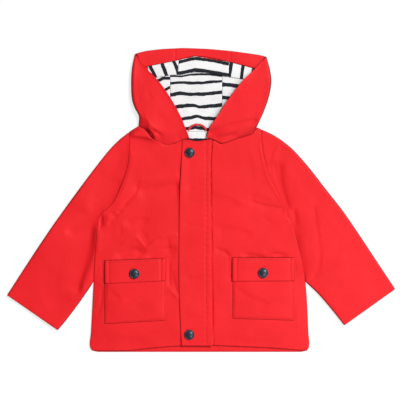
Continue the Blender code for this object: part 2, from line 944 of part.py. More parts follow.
def lining_height(x, up):
    """Middle of the hood's lining, which steps up where the crown lies folded over it."""
    rise = CROWN_RISE * ease((up - CROWN_FOLD) / CROWN_SLOPE + 0.5)
    for (lost, start, over), distance in (
        (CROWN_SINKS_UP, up - CROWN_FOLD),
        (CROWN_SINKS_OUT, abs(x)),
    ):
        rise *= 1 - lost * ease((distance - start) / over)
    return HOOD_WALL + SEAM + JERSEY / 2 + rise


def lining_rows(low):
    """Rows of the lining from a level up: (level, share of the way from fold to facing)."""
    foot = CROWN_FOLD - CROWN_SLOPE / 2
    head = CROWN_FOLD + CROWN_SLOPE / 2
    below = [(BACK_NECK + BUTT + (foot - BACK_NECK - BUTT) * t, 0.0) for t in steps(8)]
    at_fold = [(foot + CROWN_SLOPE * t, 0.0) for t in (1 / 3, 2 / 3, 1)]
    above = [(head, share) for share in (0.35, 0.7, 1.0)]
    return [row for row in below + at_fold + above if row[0] >= low]


def make_lining_piece(name, low, start, end, columns, look):
    """A piece of lining between two edges, each of which is read at the level of a row."""
    grid = []
    for level, share in lining_rows(low):
        near = start(level + share * CROWN_DEPTH)
        far = end(level + share * CROWN_DEPTH)
        row = []
        for u in steps(columns):
            x = near + (far - near) * u
            up = level + (read(FACING_EDGE, x) - BUTT - level) * share
            row.append(Vector((x, up, lining_height(x, up))))
        grid.append(row)
    wall(name, grid, JERSEY, look)


def make_hood_facing(look):
    start = -FACING_END["right"]
    end = FACING_END["left"]
    outer = brim_between(start, end, 9)
    inner = rail(FACING_EDGE)
    first = rail([inner(0), outer(0)])
    last = rail([inner(1), outer(1)])
    panel(
        "hood_facing", patch(inner, outer, first, last), steps(15), steps(4),
        lambda x, up: HOOD_WALL + SEAM + CLOTH / 2, CLOTH, look,
    )


def make_hood_lining(look):
    gap = BUTT / 2

    def seam(side, moved_out):
        column, sign = (1, -1) if side == "right" else (2, 1)
        return lambda level: sign * (read(LINING_SEAMS, level, column) + moved_out)

    make_lining_piece(
        "hood_lining_centre", BACK_NECK, seam("right", -gap), seam("left", -gap), 7, look
    )
    for side, sign in (("right", -1), ("left", 1)):
        make_lining_piece(
            f"hood_lining_{side}", LINING_SIDES_FROM, seam(side, gap),
            lambda level: sign * read(LINING_SIDES, level), 5, look,
        )


# ---------------------------------------------------------------- neck and fastenings
def make_neck_lining(look):
    sizes = NECK_LINING
    low = rail([(-sizes["out_right"], sizes["low"]), (sizes["out_left"], sizes["low"])])
    high = rail([(-sizes["out_right"], sizes["high"]), (sizes["out_left"], sizes["high"])])
    plan = patch(low, high, rail([low(0), high(0)]), rail([low(1), high(1)]))
    panel(
        "neck_lining", plan, steps(4), steps(4),
        lambda x, up: CLOTH + SEAM + JERSEY / 2, JERSEY, look,
    )


def make_hanger_loop(look):
    """A flat tape in an arch, lying on the lining with both ends at the neck seam."""
    rise = LOOP_UP[1] - LOOP_UP[0]
    middle = (LOOP_FEET[0] + LOOP_FEET[1]) / 2
    reach = (LOOP_FEET[1] - LOOP_FEET[0]) / 2
    base = HOOD_WALL + SEAM + JERSEY + SEAM
    shape = bmesh.new()
    rings = []
    for t in steps(13):
        angle = math.pi * (1 - t)
        centre = Vector((middle + reach * math.cos(angle), LOOP_UP[0] + rise * math.sin(angle), 0))
        outward = Vector((math.cos(angle) / reach, math.sin(angle) / rise, 0)).normalized()
        ring = []
        for across, high in LOOP_SECTION:
            place = centre + outward * (across * LOOP_WIDTH / 2)
            place.z = base + high * LOOP_THICK
            ring.append(shape.verts.new(place * MM))
        rings.append(ring)
    for before, after in zip(rings, rings[1:]):
        for j in range(len(before)):
            k = (j + 1) % len(before)
            shape.faces.new((before[j], before[k], after[k], after[j]))
    shape.faces.new(rings[0])
    shape.faces.new(rings[-1])
    finish("hanger_loop", shape, look)


def snap_mesh():
    """A cap snap: a low dome in a rolled rim, turned about its own axis."""
    radius = SNAP_DIAMETER / 2
    shape = bmesh.new()
    rings = []
    for share, level in SNAP_PROFILE:
        ring = []
        for i in range(SNAP_SIDES):
            angle = 2 * math.pi * i / SNAP_SIDES
            place = Vector((math.cos(angle), math.sin(angle), 0)) * (share * radius)
            place.z = level * SNAP_HEIGHT
            ring.append(shape.verts.new(place * MM))
        rings.append(ring)
    for lower, higher in zip(rings, rings[1:]):
        for i in range(SNAP_SIDES):
            k = (i + 1) % SNAP_SIDES
            shape.faces.new((lower[i], lower[k], higher[k], higher[i]))
    shape.faces.new(rings[0])
    crown = shape.verts.new(Vector((0, 0, SNAP_HEIGHT)) * MM)
    for i in range(SNAP_SIDES):
        shape.faces.new((rings[-1][i], rings[-1][(i + 1) % SNAP_SIDES], crown))
    return shape


def make_snaps(look):
    """Each snap sits on the highest place under its rim."""
    for name, (x, up) in SNAPS.items():
        snap = finish(name, snap_mesh(), look)
        level = 0.0
        for i in range(SNAP_SIDES):
            angle = 2 * math.pi * i / SNAP_SIDES
            rim_x = x + math.cos(angle) * SNAP_DIAMETER / 2
            rim_up = up + math.sin(angle) * SNAP_DIAMETER / 2
            if "pocket" in name:
                side = name.removeprefix("snap_pocket_")
                surface = pocket_top(side, rim_x, rim_up) + SEAM + CLOTH
            else:
                surface = front_top(rim_x, rim_up) + SEAM + CLOTH
            level = max(level, surface)
        snap.location = Vector((x, up, level + SEAM)) * MM


# ---------------------------------------------------------------- the jacket
def main():
    for old in list(bpy.data.objects):
        bpy.data.objects.remove(old, do_unlink=True)

    outer = material("outer_cloth", (0.84, 0.03, 0.04), 0.5)
    jersey = material("striped_jersey", (0.82, 0.80, 0.79), 0.9)
    tape = material("loop_tape", (0.72, 0.02, 0.04), 0.6)
    cap = material("snap_cap", (0.03, 0.05, 0.08), 0.3, 0.4)

    make_back(outer)
    make_fronts(outer)
    make_storm_flap(outer)
    make_pockets(outer)
    make_pocket_flaps(outer)
    for side in ("right", "left"):
        make_sleeve(side, outer)
        make_hood_side(side, outer)
    make_hood_centre(outer)
    make_hood_facing(outer)
    make_hood_lining(jersey)
    make_neck_lining(jersey)
    make_hanger_loop(tape)
    make_snaps(cap)


main()
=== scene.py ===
"""The looks of a toddler's hooded rain jacket, laid flat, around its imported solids.

Plans are in millimetres, as in the solids: x to the wearer's left, up towards the hood, and
heights over the surface it lies on. Every piece of cloth is a thin closed shell on the form
of the solid it replaces, with the creases, seams and stitches that the solid leaves out.
"""

import math

import bmesh
import bpy
import numpy as np
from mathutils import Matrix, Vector, noise


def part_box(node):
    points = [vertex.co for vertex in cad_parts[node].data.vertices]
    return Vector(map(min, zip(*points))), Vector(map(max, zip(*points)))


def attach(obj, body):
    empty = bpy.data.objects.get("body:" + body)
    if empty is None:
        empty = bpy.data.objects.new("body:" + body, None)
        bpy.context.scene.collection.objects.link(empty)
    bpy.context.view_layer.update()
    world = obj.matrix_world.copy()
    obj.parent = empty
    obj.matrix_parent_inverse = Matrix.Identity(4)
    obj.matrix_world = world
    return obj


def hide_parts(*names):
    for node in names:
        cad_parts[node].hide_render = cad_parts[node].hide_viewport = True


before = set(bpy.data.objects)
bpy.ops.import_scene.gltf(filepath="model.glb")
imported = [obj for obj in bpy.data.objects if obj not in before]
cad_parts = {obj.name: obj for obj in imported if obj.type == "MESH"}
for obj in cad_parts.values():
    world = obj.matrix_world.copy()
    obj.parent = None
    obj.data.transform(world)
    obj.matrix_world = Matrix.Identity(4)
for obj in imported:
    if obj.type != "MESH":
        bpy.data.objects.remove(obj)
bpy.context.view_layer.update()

MM = 0.001
TINY = 1e-9             # keeps a division finite

# ---------------------------------------------------------------- sizes, as in the solids
SIGN = {"right": -1, "left": 1}
CLOTH = 1.2
PATCH = 0.8             # cloth of what is sewn onto the fronts, and its gap under them
PATCH_GAP = 0.1
JERSEY = 0.9
HOOD_WALL = 1.6
SEAM = 0.3
BUTT = 0.3
LOFT = 2.6              # how far the fronts stand clear of the back
SIDE_ROLL = 10          # the larger, the closer to the sides they come down
SIDES_CLOSE_FROM = -96.0
SIDES_CLOSE_OVER = 34.0
SHOULDER_ROLL = 16.0
# Heights of a tube where it starts, where it is full and where it ends, and the shares of its
# length by which it is full and from which it falls again.
SLEEVE_SWELL = (5.0, 5.8, 4.6, 1 / 3, 1 / 2)
HOOD_SWELL = (6.6, 10.0, 5.2, 1 / 6, 0.65)
SLEEVE_ROLL = 3.0
SLEEVE_START = 0.004    # share of its length above its first points
SLEEVE_CLOSES = 0.08    # and over which its inner side closes, below the body
HOOD_ROLL = 4.4
HOOD_ROLL_SHAPE = 1.5   # its most, as a share of half the hollow's height
CENTRE_FRONT = -6.0
LOOP_WIDTH = 3.0
LOOP_THICK = 1.6
LOOP_SQUARENESS = 0.6   # 1 is round

# Outlines. out is a distance from the centre line to the side, up towards the hood.
#   up      out
SIDES = {
    "right": (
        (-226, 163.5), (-221, 166.6), (-198, 165.3), (-122, 161.4), (-69, 158.2),
        (-37, 155.5), (-26, 153.8), (-19, 148.7), (-14, 142), (-2.5, 131.7),
        (18.7, 121.2), (35, 115), (53, 109.9), (80, 107.6), (102, 108.4),
    ),
    "left": (
        (-226, 159.2), (-221, 162), (-198, 161.3), (-122, 156.7), (-93, 151.5),
        (-69, 145.8), (-44, 140), (-27, 134.2), (-9.5, 124.8), (15, 113.3),
        (36, 102.6), (61.7, 95.2), (83, 91.6), (106.6, 90.2),
    ),
}
UNDERARM = -122
#   out     up
NECK = {
    "right": (
        (6, 88.6), (28.5, 88.4), (38, 84.4), (50.5, 80.8), (64.5, 84.8), (74, 91),
        (82, 101), (92, 108.8), (99.5, 107.8), (108.4, 102),
    ),
    "left": (
        (-6, 88.6), (19.5, 88.4), (30, 83.4), (49, 88.6), (64.5, 92.8), (77, 97.6),
        (83.6, 107.4), (90.2, 106.6),
    ),
}
#   x       up
FRONT_HEM = (
    (-163.5, -226), (-112, -225.8), (-44, -219), (-6, -218), (20, -218),
    (96, -221), (159.2, -226),
)
BACK_HEM = -228
BACK_HEM_ENDS = (-155, 151)
BACK_NECK = 102.4
BACK_NECKLINE = (
    (-108.4, 102), (-94, 110.3), (-46.5, BACK_NECK), (31.5, BACK_NECK), (84, 109.6),
    (90.2, 106.6),
)
#   out     up
SLEEVE_OUTER = {
    "right": (
        (123.2, 90.2), (135.3, 78.2), (154.8, 54.2), (190.8, 6.2), (225.2, -41.8),
        (257.3, -89.8), (291.4, -142.6),
    ),
    "left": (
        (111.5, 96.2), (135.6, 78.2), (157.8, 54.2), (186.2, 18.2), (214.2, -17.8),
        (239, -53.8), (262.8, -89.8), (291.7, -133.4),
    ),
}
SLEEVE_INNER = {
    "right": ((171.8, -137.8), (188.9, -161.8), (207.5, -185.8), (215.5, -195)),
    "left": ((173.6, -137.8), (184.5, -149.8), (199.5, -167.8), (215.4, -187.8)),
}
HOOD_FOLD = {
    "right": (
        (93.9, 111.2), (93.4, 126.2), (99.5, 138.2), (103.4, 150.2), (104.9, 174.2),
        (103.7, 198.2), (99.4, 219.8),
    ),
    "left": (
        (84.2, 110.6), (94, 132.2), (102.2, 156.2), (105.6, 177.2), (104.3, 192.2),
        (98.2, 215.8),
    ),
}
HOOD_FRONT = {
    "right": (
        (17.2, 92.6), (20.7, 102.2), (31.8, 128.3), (49.5, 159.2), (65.4, 180.5),
        (84.2, 200.2), (95.6, 214.6),
    ),
    "left": (
        (8, 93.5), (12.9, 108.2), (25.4, 127), (41.6, 151.9), (63.9, 180.5),
        (81.3, 197.3), (94.4, 211.2),
    ),
}
HOOD_NECK = {
    "right": (
        (93.9, 111.2), (82, 103.6), (73.8, 93.2), (65, 86), (50.5, 82), (38.2, 85.6),
        (28.6, 90), (17.2, 92.6),
    ),
    "left": (
        (84.2, 110.6), (76.6, 98.9), (64, 94.1), (49, 90), (30.2, 85), (19.6, 90),
        (8, 93.5),
    ),
}
#   x       up
BRIM = (
    (-99.4, 219.8), (-85.5, 223.6), (-61.5, 226.9), (-25.5, 228.6), (10.5, 227.2),
    (46.5, 223.9), (82.5, 218.9), (98.2, 215.8),
)
FACING_EDGE = ((-90, 199), (-44.3, 208.1), (-8.3, 216.2), (41.6, 207.7), (88, 195.6))
FACING_END = {"right": 97, "left": 95.6}
# How far out a seam of the lining lies: on the layer below, then, as the crown lies folded
# over, at its fold and at the facing.
LINING_SEAMS = {"right": (46.5, 35, 33.5), "left": (31.5, 41.5, 42)}
LINING_SIDES = ((118, 60), (168, 74), (187.5, 80), (216, 80))
LINING_SIDES_FROM = 116
# A snap from its foot to its crown: share of the radius, share of the height.
SNAP_PROFILE = (
    (0.88, 0), (0.99, 0.10), (1, 0.24), (0.97, 0.42), (0.91, 0.52), (0.85, 0.53),
    (0.80, 0.47), (0.775, 0.46), (0.74, 0.56), (0.66, 0.70), (0.5, 0.85), (0.3, 0.95),
    (0.12, 0.995), (0.01, 1),
)
#   up      right   left
CENTRE_SEAMS = ((103.2, 46.5, 31.5), (187, 45.5, 32), (228, 34.5, 42))
#   x left  right   low left  right   high left  right
POCKETS = {
    "right": (-144.2, -52.5, -185.6, -180.2, -96, -92.6),
    "left": (47.9, 139.6, -177.4, -180.2, -92, -92),
}
POCKET_FLAPS = {
    "right": (-144.8, -53.4, -125.2, -120.8, -90.2, -86.8),
    "left": (46.6, 140.4, -121.6, -121, -85.8, -85.8),
}
NECK_LINING = (-34, 26, 78, 78, 102.6, 102.6)
POCKET_FULLNESS = 1.2
POCKET_SQUARENESS = 4
POCKET_FILLS_BY = 1 / 3
FLAP_STEP = 4
#   up      free     sewn
STORM_FLAP = (
    (88.6, -28, 16.4), (58.7, -29.6, 14.4), (0, -32.4, 14.4), (-47, -33, 15.4),
    (-120, -33.2, 15.8), (-169, -31.8, 16), (-218.4, -29.2, 17.8),
)
LOOP_FEET = (-18, 7.2)
LOOP_UP = (104.6, 113.4)

# ---------------------------------------------------------------- the photograph's places
# Points below are places in the photograph, whose side is 400 pixels, seen from straight
# above: these two sizes turn them into plan points.
PHOTO_SIZE = 400
MM_PER_PIXEL = 1.5
PHOTO_MIDDLE = (201, 200.15)

# Creases. A row has its points, its height, which is below zero for a trough, the width of its
# side that turns from the light and, where it isn't GENTLE_SIDE times that, of its other side,
# all in millimetres.
FRONT_CREASES = (
    # down the body side of the right armhole, and round its foot
    (((131.5, 148), (131, 160), (127, 180), (120.5, 195), (112, 206)), 0.7, 3.5),
    (((110, 211), (114, 215), (117, 220)), -0.45, 1.6),
    (((114, 208.5), (119, 211), (122, 215)), -0.45, 1.6),
    (((107, 216), (109, 221), (110, 227)), -0.4, 1.6),
    (((112, 209.5), (117, 212), (119.5, 216)), 0.4, 1.6),
    (((117.5, 209), (123, 206), (129, 204.4)), -0.6, 1.7, 2.4),
    (((116.5, 215), (120.5, 211.5), (125, 208.6)), -0.6, 1.7, 2.4),
    (((113, 221.5), (116, 216.5), (120, 213)), -0.55, 1.7, 2.4),
    (((109.5, 226), (112, 220.5), (115, 216)), -0.5, 1.7, 2.4),
    # the tuck under it, and the side below
    (((100.8, 210.5), (101.2, 219.5), (99.8, 231)), -2.6, 4.6),
    (((107, 213), (108, 219.5), (105, 229)), 0.7, 1.8),
    (((99.5, 230), (98.5, 242), (97.5, 256)), 0.6, 2.4),
    (((98.5, 262), (98, 275), (100, 283)), -0.4, 2.2),
    (((102.3, 257), (102.2, 286)), -0.7, 1.8),
    (((103, 284), (102.5, 296), (100, 308), (94, 318)), -1.2, 2.6),
    # the step across the right chest, and where it turns down
    (((134, 181.4), (150, 180), (166, 178.4), (184, 175.4)), 0.7, 5, 8),
    (((133, 191.4), (150, 189), (168, 186.4), (186, 184)), -1.9, 7, 20),
    (((138.5, 180), (135.4, 192), (128, 200.5), (121.5, 208.5)), -1.2, 3.4, 7),
    (((122, 228), (128, 222.6), (136, 220.2), (152, 220)), -1.2, 5),
    (((121.5, 222), (120, 238)), -0.5, 3),
    (((146, 156), (158, 160.5), (172, 160)), -0.3, 8),
    # the V over the right pocket
    (((133, 232), (141, 241.5), (149, 252)), 0.65, 5, 2),
    (((119, 245), (130, 239), (139, 235.6)), 0.8, 2.6, 2.6),
    (((144, 252), (152, 244), (161, 238)), 1, 2.6, 2.6),
    (((155.5, 240), (166, 236.4), (182, 233.4)), 0.8, 3, 3),
    (((137, 224), (142.5, 233), (150, 244)), -0.5, 5, 10),
    (((112, 259), (125, 253), (136, 250), (147, 257)), -1.9, 6, 14),
    (((144, 262), (154, 254), (166, 249.5), (180, 249)), -1.8, 6, 14),
    (((168, 234), (169, 256)), -0.8, 4),
    # beside the storm flap
    (((169.5, 259), (169, 275), (170, 289)), -1, 3.4),
    (((167, 287.6), (174, 294.5), (180, 301.5)), 0.7, 2.4),
    (((172, 268), (174, 282), (179, 295)), -0.8, 4),
    # down the body side of the left armhole, and the star at its foot
    (((259, 143), (261, 154), (264, 167.3), (269.2, 182), (276, 194),
      (284, 204.7)), 0.4, 2.4),
    (((248, 200.6), (262, 204.6), (276, 207.4), (289, 208.6)), -1.1, 3, 12),
    (((253, 193), (265, 196), (277, 201.5)), 0.45, 4),
    (((248, 195.5), (256, 197)), -0.25, 2),
    (((283, 220), (286.6, 214.5), (289.6, 210)), -0.6, 1.7, 2.4),
    (((286.6, 224), (289, 218.5), (291, 214)), 0.6, 1.7, 2.4),
    (((286, 213.5), (289, 218), (292.6, 223.5)), -1.2, 1.8, 3),
    (((260, 216), (270, 222), (278, 229)), -0.3, 3.5),
    # across the left chest
    (((211, 193.5), (230, 196), (243, 204), (264, 207.4)), 0.5, 4.5),
    (((213, 227.5), (236, 230), (255, 235.5)), -0.7, 5.5),
    (((244, 148), (250, 166), (252, 186)), -0.5, 8),
    # above and beside the left pocket
    (((240, 254), (255, 256), (266, 257), (273, 254.4), (290, 256)), -1.9, 4.8),
    (((213, 248.6), (224, 251), (232, 258.5)), -1.1, 2.6),
    (((229.4, 255), (229.6, 283)), -0.4, 1.8),
    (((294.6, 260), (294.9, 280)), -1.4, 1.8),
    (((216, 289), (223, 285.5), (229, 289)), 0.3, 3),
    (((298, 303), (297, 318), (300, 334)), 0.3, 5),
    # towards the hem
    (((228, 333), (250, 337), (282, 338)), 0.4, 7),
    (((106, 330), (122, 334), (150, 334)), 0.35, 7),
    (((98, 338), (118, 341), (150, 340)), -0.3, 7),
)
# The cloth rolled over the neck seam, where the fronts have no room under them to sink.
NECK_CREASES = (
    (((141, 120), (149, 127.5), (153.5, 134), (159, 142)), 2.2, 12, 12),
    (((126, 133), (136, 135), (146, 136.6), (155, 139), (165, 144.5)), 3, 5,
     12),
)
STORM_CREASES = (
    (((205, 178), (195, 183.5), (185, 192.5)), -0.45, 3),
    (((181.5, 222.8), (192, 224.8), (206, 225)), -0.45, 3),
    (((190, 166), (198, 162), (203, 154)), 0.3, 4),
    (((183, 205), (194, 202), (205, 203.5)), -0.25, 4),
    (((182.5, 276.5), (193, 278.6), (205, 277)), -0.5, 3.5),
    (((184, 296), (194, 299), (205, 298)), -0.3, 4),
    (((184, 316), (194, 313), (204, 316.5)), 0.3, 5),
)
POCKET_CREASES = (
    (((109, 289), (115, 295), (122, 300)), -0.6, 3),
    (((119.5, 304.5), (123, 301), (127, 298.5)), 0.35, 2.2),
    (((133, 312), (146, 309), (158, 312)), -0.25, 6),
    (((234, 284), (244, 294), (258, 300.5), (272, 304.5)), -0.6, 4.5),
    (((262, 312), (274, 309), (286, 312)), 0.2, 5),
)
POCKET_FLAP_CREASES = (
    (((142, 266), (150, 264.5), (158, 266)), -0.2, 4),
    (((240, 267), (247, 265.5), (254, 267.5)), 0.2, 4),
    (((271, 272.5), (279, 275), (287, 273)), -0.25, 4),
)
SLEEVE_CREASES = (
    # up to the seam of the wearer's right armhole
    (((119, 140), (116.5, 163), (110.5, 180), (103.5, 194), (90, 212)), -1.6, 12,
     30),
    (((126.6, 138), (124.6, 165), (120.4, 180), (115.2, 192), (107, 204)), -0.8, 5,
     20),
    (((119, 176), (114.4, 189), (108.4, 199), (100, 206.4), (86, 212)), -2, 5.6,
     20),
    # under that arm, where the sleeve comes up against the side
    (((105, 206), (92, 216), (80, 225), (64, 234)), -2.4, 5, 14),
    (((97, 222), (96.4, 240), (94.4, 256), (89.5, 270), (84, 285), (81, 297)),
     1.6, 5),
    (((95, 208), (91, 224), (89, 240), (86, 254), (82, 268), (79, 280),
      (77, 296)), -2.8, 6.4, 30),
    (((60, 262), (52, 284), (40, 300)), -0.4, 12),
    (((78, 200), (84, 188), (94, 178)), 0.4, 10),
    # the wearer's left sleeve head
    (((280.5, 143), (274.6, 154), (272.6, 163.3), (273.8, 176.7), (278, 192)), 0.5, 2.6),
    (((272, 158), (275.5, 172), (279.5, 190)), -0.8, 4, 12),
    (((279, 158), (279.6, 176), (281, 187), (284, 198), (290, 214)), -2.8, 7.6,
     30),
    (((292, 206), (295, 217), (293.6, 230)), -2.4, 6, 14),
    (((293, 216), (296.5, 245), (301, 262), (305, 281)), -2.6, 10, 30),
    # down that sleeve
    (((313.5, 203), (316.5, 222), (319, 240), (320.4, 256), (318, 270),
      (311, 281)), -0.5, 3, 9),
    (((334, 252), (344, 276), (346, 296)), 0.35, 10),
)
HOOD_CREASES = (
    # the right side, over the neck seam
    (((136, 123), (147, 127.5), (152.6, 132), (157, 142)), 3.2, 3.2, 12),
    (((149, 127.6), (156.5, 132.2), (164, 136.8)), -2.2, 2.6),
    (((155, 141), (167, 145.5), (178, 142.5)), -1.4, 7),
    (((176, 135), (180, 138.5), (183, 142.5)), -0.7, 2.4),
    (((154, 111), (162, 118), (172, 126)), -0.4, 4),
    (((147, 89), (150, 96), (153.5, 102)), -0.4, 3),
    (((139, 93), (140.5, 105)), -0.3, 2.4),
    # the left side
    (((205.5, 135), (220, 128.8), (232, 125.4), (245, 122), (261, 120)), -1.8, 3.4, 5),
    (((232, 141), (244, 137.4), (253, 133), (260, 126)), -2.4, 4.6, 8),
    (((211, 139.4), (224, 136.5), (238, 133)), -1.2, 3, 5),
    (((244, 118.5), (252, 116), (260, 113.5)), -0.4, 5),
    (((246, 84), (240, 96), (236, 110)), 0.3, 8),
)
LINING_CREASES = (
    (((172, 86), (186, 89), (200, 87), (219, 85.5)), 0.5, 5),
    (((174, 100), (190, 98.5), (206, 100.5), (220, 99)), -0.7, 5),
    (((180, 110.5), (192, 112), (199, 110), (214, 112)), 0.4, 4),
)

# Stripes of the lining: the middle line of each, in the order it is met. In the crown's
# sides they run up and down, elsewhere across.
STRIPES_BACK = (
    ((186, 140), (205, 140)),
    ((186.4, 128.6), (195, 127.2), (202, 127.9), (208.6, 129.8)),
    ((181.4, 119.4), (189.3, 117.9), (197, 116.1), (205, 118.2), (215, 118.8)),
    ((175, 107), (183, 106), (186.4, 105.2), (193.6, 105.4), (199.3, 107),
     (210.7, 106), (222, 104.9)),
    ((171.4, 94.7), (179.3, 93), (192, 94.3), (202, 93.9), (210.7, 93.4), (220.4, 91.9)),
    ((170.4, 82.9), (179.3, 81.8), (192, 82.7), (202, 82.8), (210.7, 81.4), (221.4, 80.7)),
    ((170, 75.8), (180.7, 76.4), (190.7, 74.4), (199, 73.9), (209, 74.2), (221, 76)),
    ((170, 69.5), (181, 70), (196, 67.4), (221, 69)),
)
STRIPES_BACK_RIGHT = (
    ((150, 124), (170, 117)),
    ((150, 112), (170, 106.5)),
    ((156, 102.6), (164, 102), (169.8, 100.2)),
    ((157, 93.4), (164.3, 90.7), (169.3, 87)),
    ((157.9, 80.7), (163.6, 77.9), (168.6, 78.3)),
    ((157, 69), (169, 66)),
)
STRIPES_BACK_LEFT = (
    ((222, 124), (240, 125)),
    ((222, 110.5), (240, 112)),
    ((222.4, 97.4), (228.6, 97.9), (240, 98.5)),
    ((222.4, 84.5), (229, 84.9), (237.9, 85.7)),
    ((222, 71), (232, 72.5), (244, 78)),
)
STRIPES_CROWN = (
    ((170, 84), (196, 82), (230, 86)),
    ((180, 73), (187, 71.3), (195, 69.7), (210.7, 71.7), (225.7, 74.7)),
    ((178.6, 62.2), (187, 60), (195, 58.2), (210.7, 60.2), (228.6, 63.6)),
    ((178, 52), (196, 47), (230, 53)),
)
STRIPES_CROWN_RIGHT = (
    ((185.5, 58), (191, 73)),
    ((173.6, 60.7), (178.6, 73.6)),
    ((162.4, 64.3), (166.4, 75.3)),
    ((150, 66.4), (155.7, 77.4)),
    ((138, 70), (144, 80)),
)
STRIPES_CROWN_LEFT = (
    ((221, 60), (218, 74)),
    ((231.4, 62), (229.2, 75.2)),
    ((243.4, 65.5), (241.7, 76.5)),
    ((253.8, 68.4), (250.5, 79.5)),
    ((265, 72), (260, 83)),
)
STRIPE_SHARE = 0.30     # of the pitch that is navy
# Edge of the fold that the crown of the lining lies in.
CROWN_EDGE = ((150, 79), (157, 77.2), (169, 75.2), (181, 74.6), (190, 72.6),
              (196, 72), (204, 72.4), (214, 74), (224.5, 76.2), (243.6, 79),
              (252, 80))

# ---------------------------------------------------------------- how finely cloth is divided
PITCH = 1.4             # between points of a panel
ROUNDED = 0.7           # width of the rounded edge of a wall
EDGE_LEFT = 0.35        # share of a wall's thickness that is left at its edge
JERSEY_EDGE_LEFT = 0.9
ROLL_STEPS = 7          # points round each quarter of a fold
ROLL_MOST = 0.35        # of a layer's width
BASE_INSIDE = 8         # points across the layer that a tube rests on
TOP_INSIDE = 42         # and across its top layer
SLEEVE_LENGTH = 300
HOOD_PITCH = 1.7
# Width and length of a panel, and the pitch of its points across and along.
PANELS = {
    "back": (320, 330, 3 * PITCH, 3 * PITCH),
    "front": (160, 330, PITCH, PITCH),
    "storm_flap": (50, 307, 1.5, PITCH),
    "pocket": (92, 88, PITCH, PITCH),
    "pocket_flap": (93, 35, 1.6, 1.0),
    "hood_centre": (78, 124, 2 * PITCH, 2 * PITCH),
    "hood_facing": (185, 14, 1.6, 1.0),
    "neck_lining": (60, 24, PITCH, PITCH),
}
LINING_COLUMNS = {"centre": 44, "side": 26}
LINING_ROWS = {"fold": 4, "crown": 16}
LINE_POINTS = {"hem": 7, "neck seam": 30, "brim": 9, "facing": 15}
SNAP_RINGS, SNAP_SIDES = 34, 64
LOOP_RINGS, LOOP_SIDES = 48, 14
STITCH_SIDES = 6

# ---------------------------------------------------------------- seams, stitches, unevenness
# A seam or stitch has its depth and its width.
SLEEVE_SEAM = {"right": (0.0, 2.0), "left": (0.9, 3.0)}
HOOD_SEAM = (0.5, 3.0)
NECK_SINK = (0.7, 3.4)
STITCH_SINK = (0.45, 1.1)
FLAP_STITCH_SINK = (0.8, 1.3)
FACING_SINK = (0.675, 1.1)
POCKET_GROOVE = (0.3, 0.6)      # furrow of the fronts round the pockets and their flaps
STORM_GROOVE = (1.7, 0.6)       # and beside the storm flap's sewn edge
HEM_PRESSED = (1.5, 16.0)       # how far a front comes down at its hem, and over what length
PUCKER = (0.16, 8.5, 5.0)       # height, length and reach of the puckers along a stitched seam
PUCKER_DRIFT = (2, 23)          # how far their rhythm wanders, and how fast
STITCH_HOLDS = 5.0              # distance over which a stitched edge keeps creases out
# Where stitches run: their distance from an edge, but for the storm flap's, which is at an x.
SHOULDER_STITCH = 3.0
POCKET_STITCH = 2.0
FLAP_STITCH_TOP = 3.6
FLAP_STITCH_SIDE = 6.5
STORM_STITCH_X = 7.8
STORM_STITCH_ENDS = 3
POCKET_STITCH_TOP = 20          # under the flap
FLAP_STITCH_ENDS = 2
# How long and thick a stitch is, the share of a pitch before the first one, and the share of
# its radius that its middle stands above the cloth.
STITCH = {"length": 2.7, "pitch": 3.7, "radius": 0.24, "start": 0.15, "proud": 0.1}
# Rings of a stitch: the end it is at, its share of the radius, and how many radii further out.
STITCH_RINGS = ((0, 0.45, -0.9), (0, 1.0, 0.0), (1, 1.0, 0.0), (1, 0.45, 0.9))

SNAPS = ("snap_top", "snap_hem", "snap_pocket_right", "snap_pocket_left")
SNAP_HOLD = (6.5, 8.0)          # cloth is held this near a snap, and free again over this
SNAP_DIMPLE = 0.5
HELD_FLAT = (0.5, 4.0)          # and this near what is sewn on, and free again over this

FREE_EDGE_LIFT = 1.1            # how far the storm flap's free edge stands off the fronts
LIFT_OVER = 15.0                # and over what width
LIFT_MOST_AT, LIFT_LENGTH = 28.0, 36.0
LIFT_LEAST = 0.15               # its share left, far from there
FLAP_HANGS = (0.15, 12)         # how far a pocket flap's lower edge stands off, and over what
FLAP_TOP_RIDGE = (0.5, 1.2, 1.1)    # height of the turned edge, its place and its width
FLAP_SIDE_RIDGE = (0.25, 3.0, 2.4)
FLAP_SIDE_FREE = (2.0, 5.0)     # creases grow from so far outside its sides, over so much
HOOD_EDGE = (0.5, 2.5)          # height and width of the turned edge of the face opening
HOOD_FOLD_PLAIN = 1 / 4         # share of the hood's front without creases, beside its fold
FACING_PLAIN = 1 / 4            # share of the facing's width, beside its inner edge
FACING_SEAMS = (-39.0, 43.5)

SLEEVE_TUCK = {"right": 0.05, "left": 1.6}  # how far a sleeve's top goes in under the body
SLEEVE_TUCK_ENDS = (-66.0, -94.0)   # up, where it stops doing so
SLEEVE_TUCK_STARTS = 4              # over so many times its own size
SLEEVE_SEWN = 1 / 16            # share of a closed sleeve's width that its seam keeps plain
CLOSE_BUTT = 0.08               # between pieces that meet at a seam, which lies closed
NECK_TUCK = 2.6                 # how far the fronts go in under the hood
CROWN_UNDER = 6.0               # how far the crown's fold lies over the lining below it
LINING_STEP = 1.05              # between the middles of two layers of lining
LINING_SOFTNESS = 0.9           # share of its creases and unevenness
LINING_HELD = (1.0, 5.0)        # it is held so near the crown's fold, and free over so much
CROWN_LEVEL = 190.0             # up, about where the crown's fold is
CROWN_FLAT, CROWN_FALL = 7.0, 9.0   # how long it lies level past its fold, and comes down over

